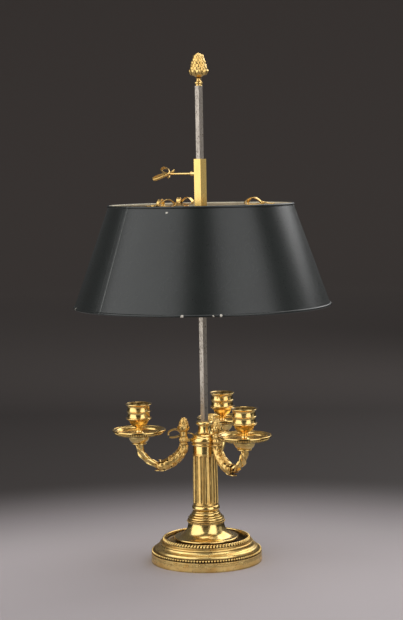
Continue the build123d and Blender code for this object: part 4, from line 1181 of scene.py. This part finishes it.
class LAMP_OT_shade(bpy.types.Operator):
    """Painted sheet-metal shade with wired edges and a lapped seam"""
    bl_idname = "lamp.shade"
    bl_label = "Painted Shade"

    def execute(self, context):
        shade = context.scene.lamp_shade
        rows, lining = self.rows(shade, box_of("shade_shell")[1])
        bm = bmesh.new()
        skin(bm, rows, wrap_rows=True)
        for index, face in enumerate(bm.faces):
            face.material_index = int(index // len(rows[0]) in lining)
        piece("painted_shade", bm, "green_black_paint cream_lining", ["shade_shell"],
              "shade_carrier", crease=60)
        return {"FINISHED"}

    def angles(self, shade, reach):
        """Even steps round the shade, with close ones at the two edges of the seam."""
        half = shade.seam_width / MM / 2 / reach
        edges = [shade.seam_bearing + side * half + step / reach
                 for side in (-1, 1) for step in (-0.9, -0.5, -0.25, 0, 0.25, 0.5, 0.9)]
        return sorted({round(a % TURN, 6) for a in around(240) + edges})

    def rows(self, shade, corner):
        """Closed section: up the outside, round the top roll, down the lining, round the foot.

        The second thing returned is the range of rows that are lining.
        """
        ends = [box_of(f"shade_{end}_wire") for end in ("bottom", "top")]
        wire = (ends[0][1].z - ends[0][0].z) / 2
        bottom, top = (Vector((high.x - wire, (low.z + high.z) / 2)) for low, high in ends)
        roll, half = corner.z - top.y, shade.sheet / MM / 2
        wall = [bottom.lerp(top, k / 16) for k in range(1, 16)]
        lean = math.atan2(bottom.x - top.x, top.y - bottom.y)
        gap = math.asin(half / roll)

        def arc(centre, start):
            """Rolled edge from the sheet's one face round to its other."""
            return [(centre.x + roll * math.cos(a), centre.y + roll * math.sin(a), 0)
                    for a in (start + gap + (TURN - 2 * gap) * k / 14 for k in range(15))]

        outside = [(p.x + half, p.y, 1) for p in wall]
        inside = [(p.x - half, p.y, 1) for p in reversed(wall)]
        upper, lower = arc(top, lean - math.pi / 2), arc(bottom, lean + math.pi / 2)
        turning = len(outside) + len(upper)
        # the lining starts half way round the top roll and ends a little way into the lower one
        lining = range(turning - 7, turning + len(inside) + 2)
        source = random.Random(7)
        waves = [(source.randint(2, 9), source.uniform(0, TURN), source.uniform(0.5, 1.0),
                  source.uniform(0.5, 2.2)) for _ in range(7)]
        laps = [(a, self.lap(shade, a, corner.x)) for a in self.angles(shade, corner.x)]
        made = []
        for r, z, free in outside + upper + inside + lower:
            up = (z - bottom.y) / (top.y - bottom.y)
            calm = math.sin(math.pi * min(max(up, 0.0), 1.0)) if free else 0.0
            row = []
            for a, lap in laps:
                dent = sum(size * math.sin(n * a + phase + rise * math.pi * up)
                           for n, phase, size, rise in waves) / len(waves)
                far = r + lap * min(1.0, calm * 8) + shade.dents / MM * dent * calm
                row.append(Vector((far * math.cos(a), far * math.sin(a), z)))
            made.append(row)
        return made, lining

    def lap(self, shade, a, reach):
        """Rise of the seam's overlap at an angle."""
        off = (a - shade.seam_bearing + math.pi) % TURN - math.pi
        away = abs(off) * reach - shade.seam_width / MM / 2
        t = min(max(0.5 - away / 0.9, 0.0), 1.0)
        return shade.seam_rise / MM * t * t * (3 - 2 * t)


def beside(azimuth, distance, height):
    """Place at an azimuth round the lamp."""
    return Vector((distance * math.sin(azimuth), -distance * math.cos(azimuth), height))


class LAMP_OT_stage(bpy.types.Operator):
    """Floor, soft lights and camera"""
    bl_idname = "lamp.stage"
    bl_label = "Floor, Lights And Camera"

    def execute(self, context):
        stage = context.scene.lamp_stage
        context.scene.view_settings.view_transform = "Standard"
        self.floor(stage)
        self.world(stage)
        self.lights(stage)
        self.camera(stage)
        return {"FINISHED"}

    def floor(self, stage):
        """Wide round floor that sweeps up into a backdrop all round."""
        flat, bend, height = 5.0, 2.5, 4.0
        profile = [(0.01, 0)] + [(flat * k / 10, 0) for k in range(1, 11)]
        profile += [(flat + bend * math.sin(a), bend * (1 - math.cos(a)))
                    for a in (math.pi / 2 * k / 12 for k in range(1, 13))]
        profile.append((flat + bend, height))
        bm = bmesh.new()
        lathe(bm, profile, 96, closed=False)
        floor = new_object("floor", bm)
        floor.data.materials.append(self.paper(stage, stage.camera_azimuth))

    def paper(self, stage, view):
        """Pale paper round the lamp, with painted shade darkening it behind the lamp, and backdrop
        colour far behind it.
        """
        n = Finish("paper_floor", Roughness=0.7, Specular_IOR_Level=0.2)
        pale = tuple(stage.floor)
        base = n.mix(n.ramp(n.noise(900), 0.3, 0.7), pale, tuple(c * 0.96 for c in pale))
        # painted shade: the floor darkens with distance from a point on the camera's side, as if
        # the light fell off
        far = n.ramp(n.from_point(beside(view, 350, 0)), 420, 950)
        far.node.interpolation_type = "SMOOTHSTEP"
        away = n.along(-beside(view, 1, 0))
        behind = n.mix(n.ramp(away, 1350, 4850), tuple(stage.far_floor_shade), tuple(stage.backdrop))
        n.done(n.mix(far, base, behind), None, n.bump(n.noise(1.2, 2), 0.02))
        # the gilding mirrors the soft boxes below table level, as on a small table
        glossy = n.node("LightPath").outputs["Is Glossy Ray"]
        clear = n.node("BsdfTransparent").outputs["BSDF"]
        blend = n.node("MixShader", {"Fac": n.times(glossy, n.ramp(n.reach(), 190, 210)),
                                     1: n.shader.outputs["BSDF"], 2: clear})
        n.feed(blend.outputs["Shader"], n.tree.nodes["Material Output"].inputs["Surface"])
        return n.material

    def world(self, stage):
        """Soft light from above the table, and the lit studio floor well below it."""
        world = bpy.data.worlds.new("studio")
        n = Nodes(world, "Generated", 1)
        height = n.height()
        above = n.ramp(height, -0.02, 0.02, 0.0, stage.world)
        below = n.ramp(height, -0.30, -0.24, 0.32, 0.03)
        background = n.tree.nodes["Background"]
        background.inputs["Color"].default_value = (0.92, 0.90, 0.90, 1)
        n.feed(n.math("MAXIMUM", above, below), background.inputs["Strength"])
        bpy.context.scene.world = world

    def light(self, name, azimuth, distance, height, size, brightness, aim=0.35):
        """Soft box at an azimuth round the lamp, facing the rod at the height aim."""
        lamp = bpy.data.lights.new(name, "AREA")
        lamp.shape = "RECTANGLE"
        lamp.size, lamp.size_y = size
        lamp.energy = brightness * math.pi * size[0] * size[1]
        box = bpy.data.objects.new(name, lamp)
        box.location = beside(math.radians(azimuth), distance, height)
        facing = Vector((0, 0, aim)) - box.location
        box.rotation_euler = facing.to_track_quat("-Z", "Y").to_euler()
        box.visible_camera = False
        bpy.context.scene.collection.objects.link(box)

    def lights(self, stage):
        view = math.degrees(stage.camera_azimuth)
        self.light("left_box", view - 62, 1.77, 0.66, (2.7, 2.75), stage.left, -0.11)
        self.light("right_box", view + 43, 1.86, 0.66, (1.6, 2.75), stage.right, -0.11)
        self.light("side_box", view + 97, 1.6, 0.45, (0.6, 0.9), stage.side)
        self.light("back_box", view + 137, 1.5, 1.5, (1.8, 1.6), stage.back)
        self.light("top_box", view, 0.1, 2.3, (1.5, 1.5), stage.top)

    def camera(self, stage):
        data = bpy.data.cameras.new("camera")
        data.sensor_width = 36.0
        data.lens = data.sensor_width * stage.focal_pixels / FRAME_HEIGHT
        data.clip_start, data.clip_end = 0.02, 60
        camera = bpy.data.objects.new("camera", data)
        view = stage.camera_azimuth
        camera.location = beside(view, stage.camera_distance, stage.camera_height)
        camera.rotation_mode = "QUATERNION"
        level = Matrix.Rotation(view + stage.camera_yaw, 4, "Z")
        tip = Matrix.Rotation(math.pi / 2 - stage.camera_pitch, 4, "X")
        roll = Matrix.Rotation(-stage.camera_roll, 4, "Z")
        camera.rotation_quaternion = (level @ tip @ roll).to_quaternion()
        bpy.context.scene.collection.objects.link(camera)
        bpy.context.scene.camera = camera


class LAMP_PT_panel(bpy.types.Panel):
    """Steps that dress the lamp"""
    bl_idname = "LAMP_PT_panel"
    bl_label = "Bouillotte Lamp"
    bl_space_type = "VIEW_3D"
    bl_region_type = "UI"
    bl_category = "Lamp"

    def draw(self, context):
        for step in STEPS:
            self.layout.operator(step.bl_idname)
        for group in GROUPS:
            settings = getattr(context.scene, group)
            box = self.layout.box()
            for name in settings.bl_rna.properties.keys():
                if name not in ("rna_type", "name"):
                    box.prop(settings, name)


GROUPS = {"lamp_finishes": LampFinishes, "lamp_ornament": LampOrnament,
          "lamp_shade": LampShade, "lamp_stage": LampStage}
STEPS = (LAMP_OT_finishes, LAMP_OT_foot_mouldings, LAMP_OT_finial, LAMP_OT_acorns, LAMP_OT_arms,
         LAMP_OT_knops, LAMP_OT_brackets, LAMP_OT_nozzles, LAMP_OT_pans, LAMP_OT_bows,
         LAMP_OT_key, LAMP_OT_shade, LAMP_OT_stage)


def register():
    for name, group in GROUPS.items():
        bpy.utils.register_class(group)
        setattr(bpy.types.Scene, name, PointerProperty(type=group))
    for step in STEPS:
        bpy.utils.register_class(step)
    bpy.utils.register_class(LAMP_PT_panel)


def unregister():
    bpy.utils.unregister_class(LAMP_PT_panel)
    for step in reversed(STEPS):
        bpy.utils.unregister_class(step)
    for name, group in GROUPS.items():
        delattr(bpy.types.Scene, name)
        bpy.utils.unregister_class(group)


def main():
    register()
    for step in STEPS:
        area, name = step.bl_idname.split(".")
        getattr(getattr(bpy.ops, area), name)()


if __name__ == "__main__":
    main()
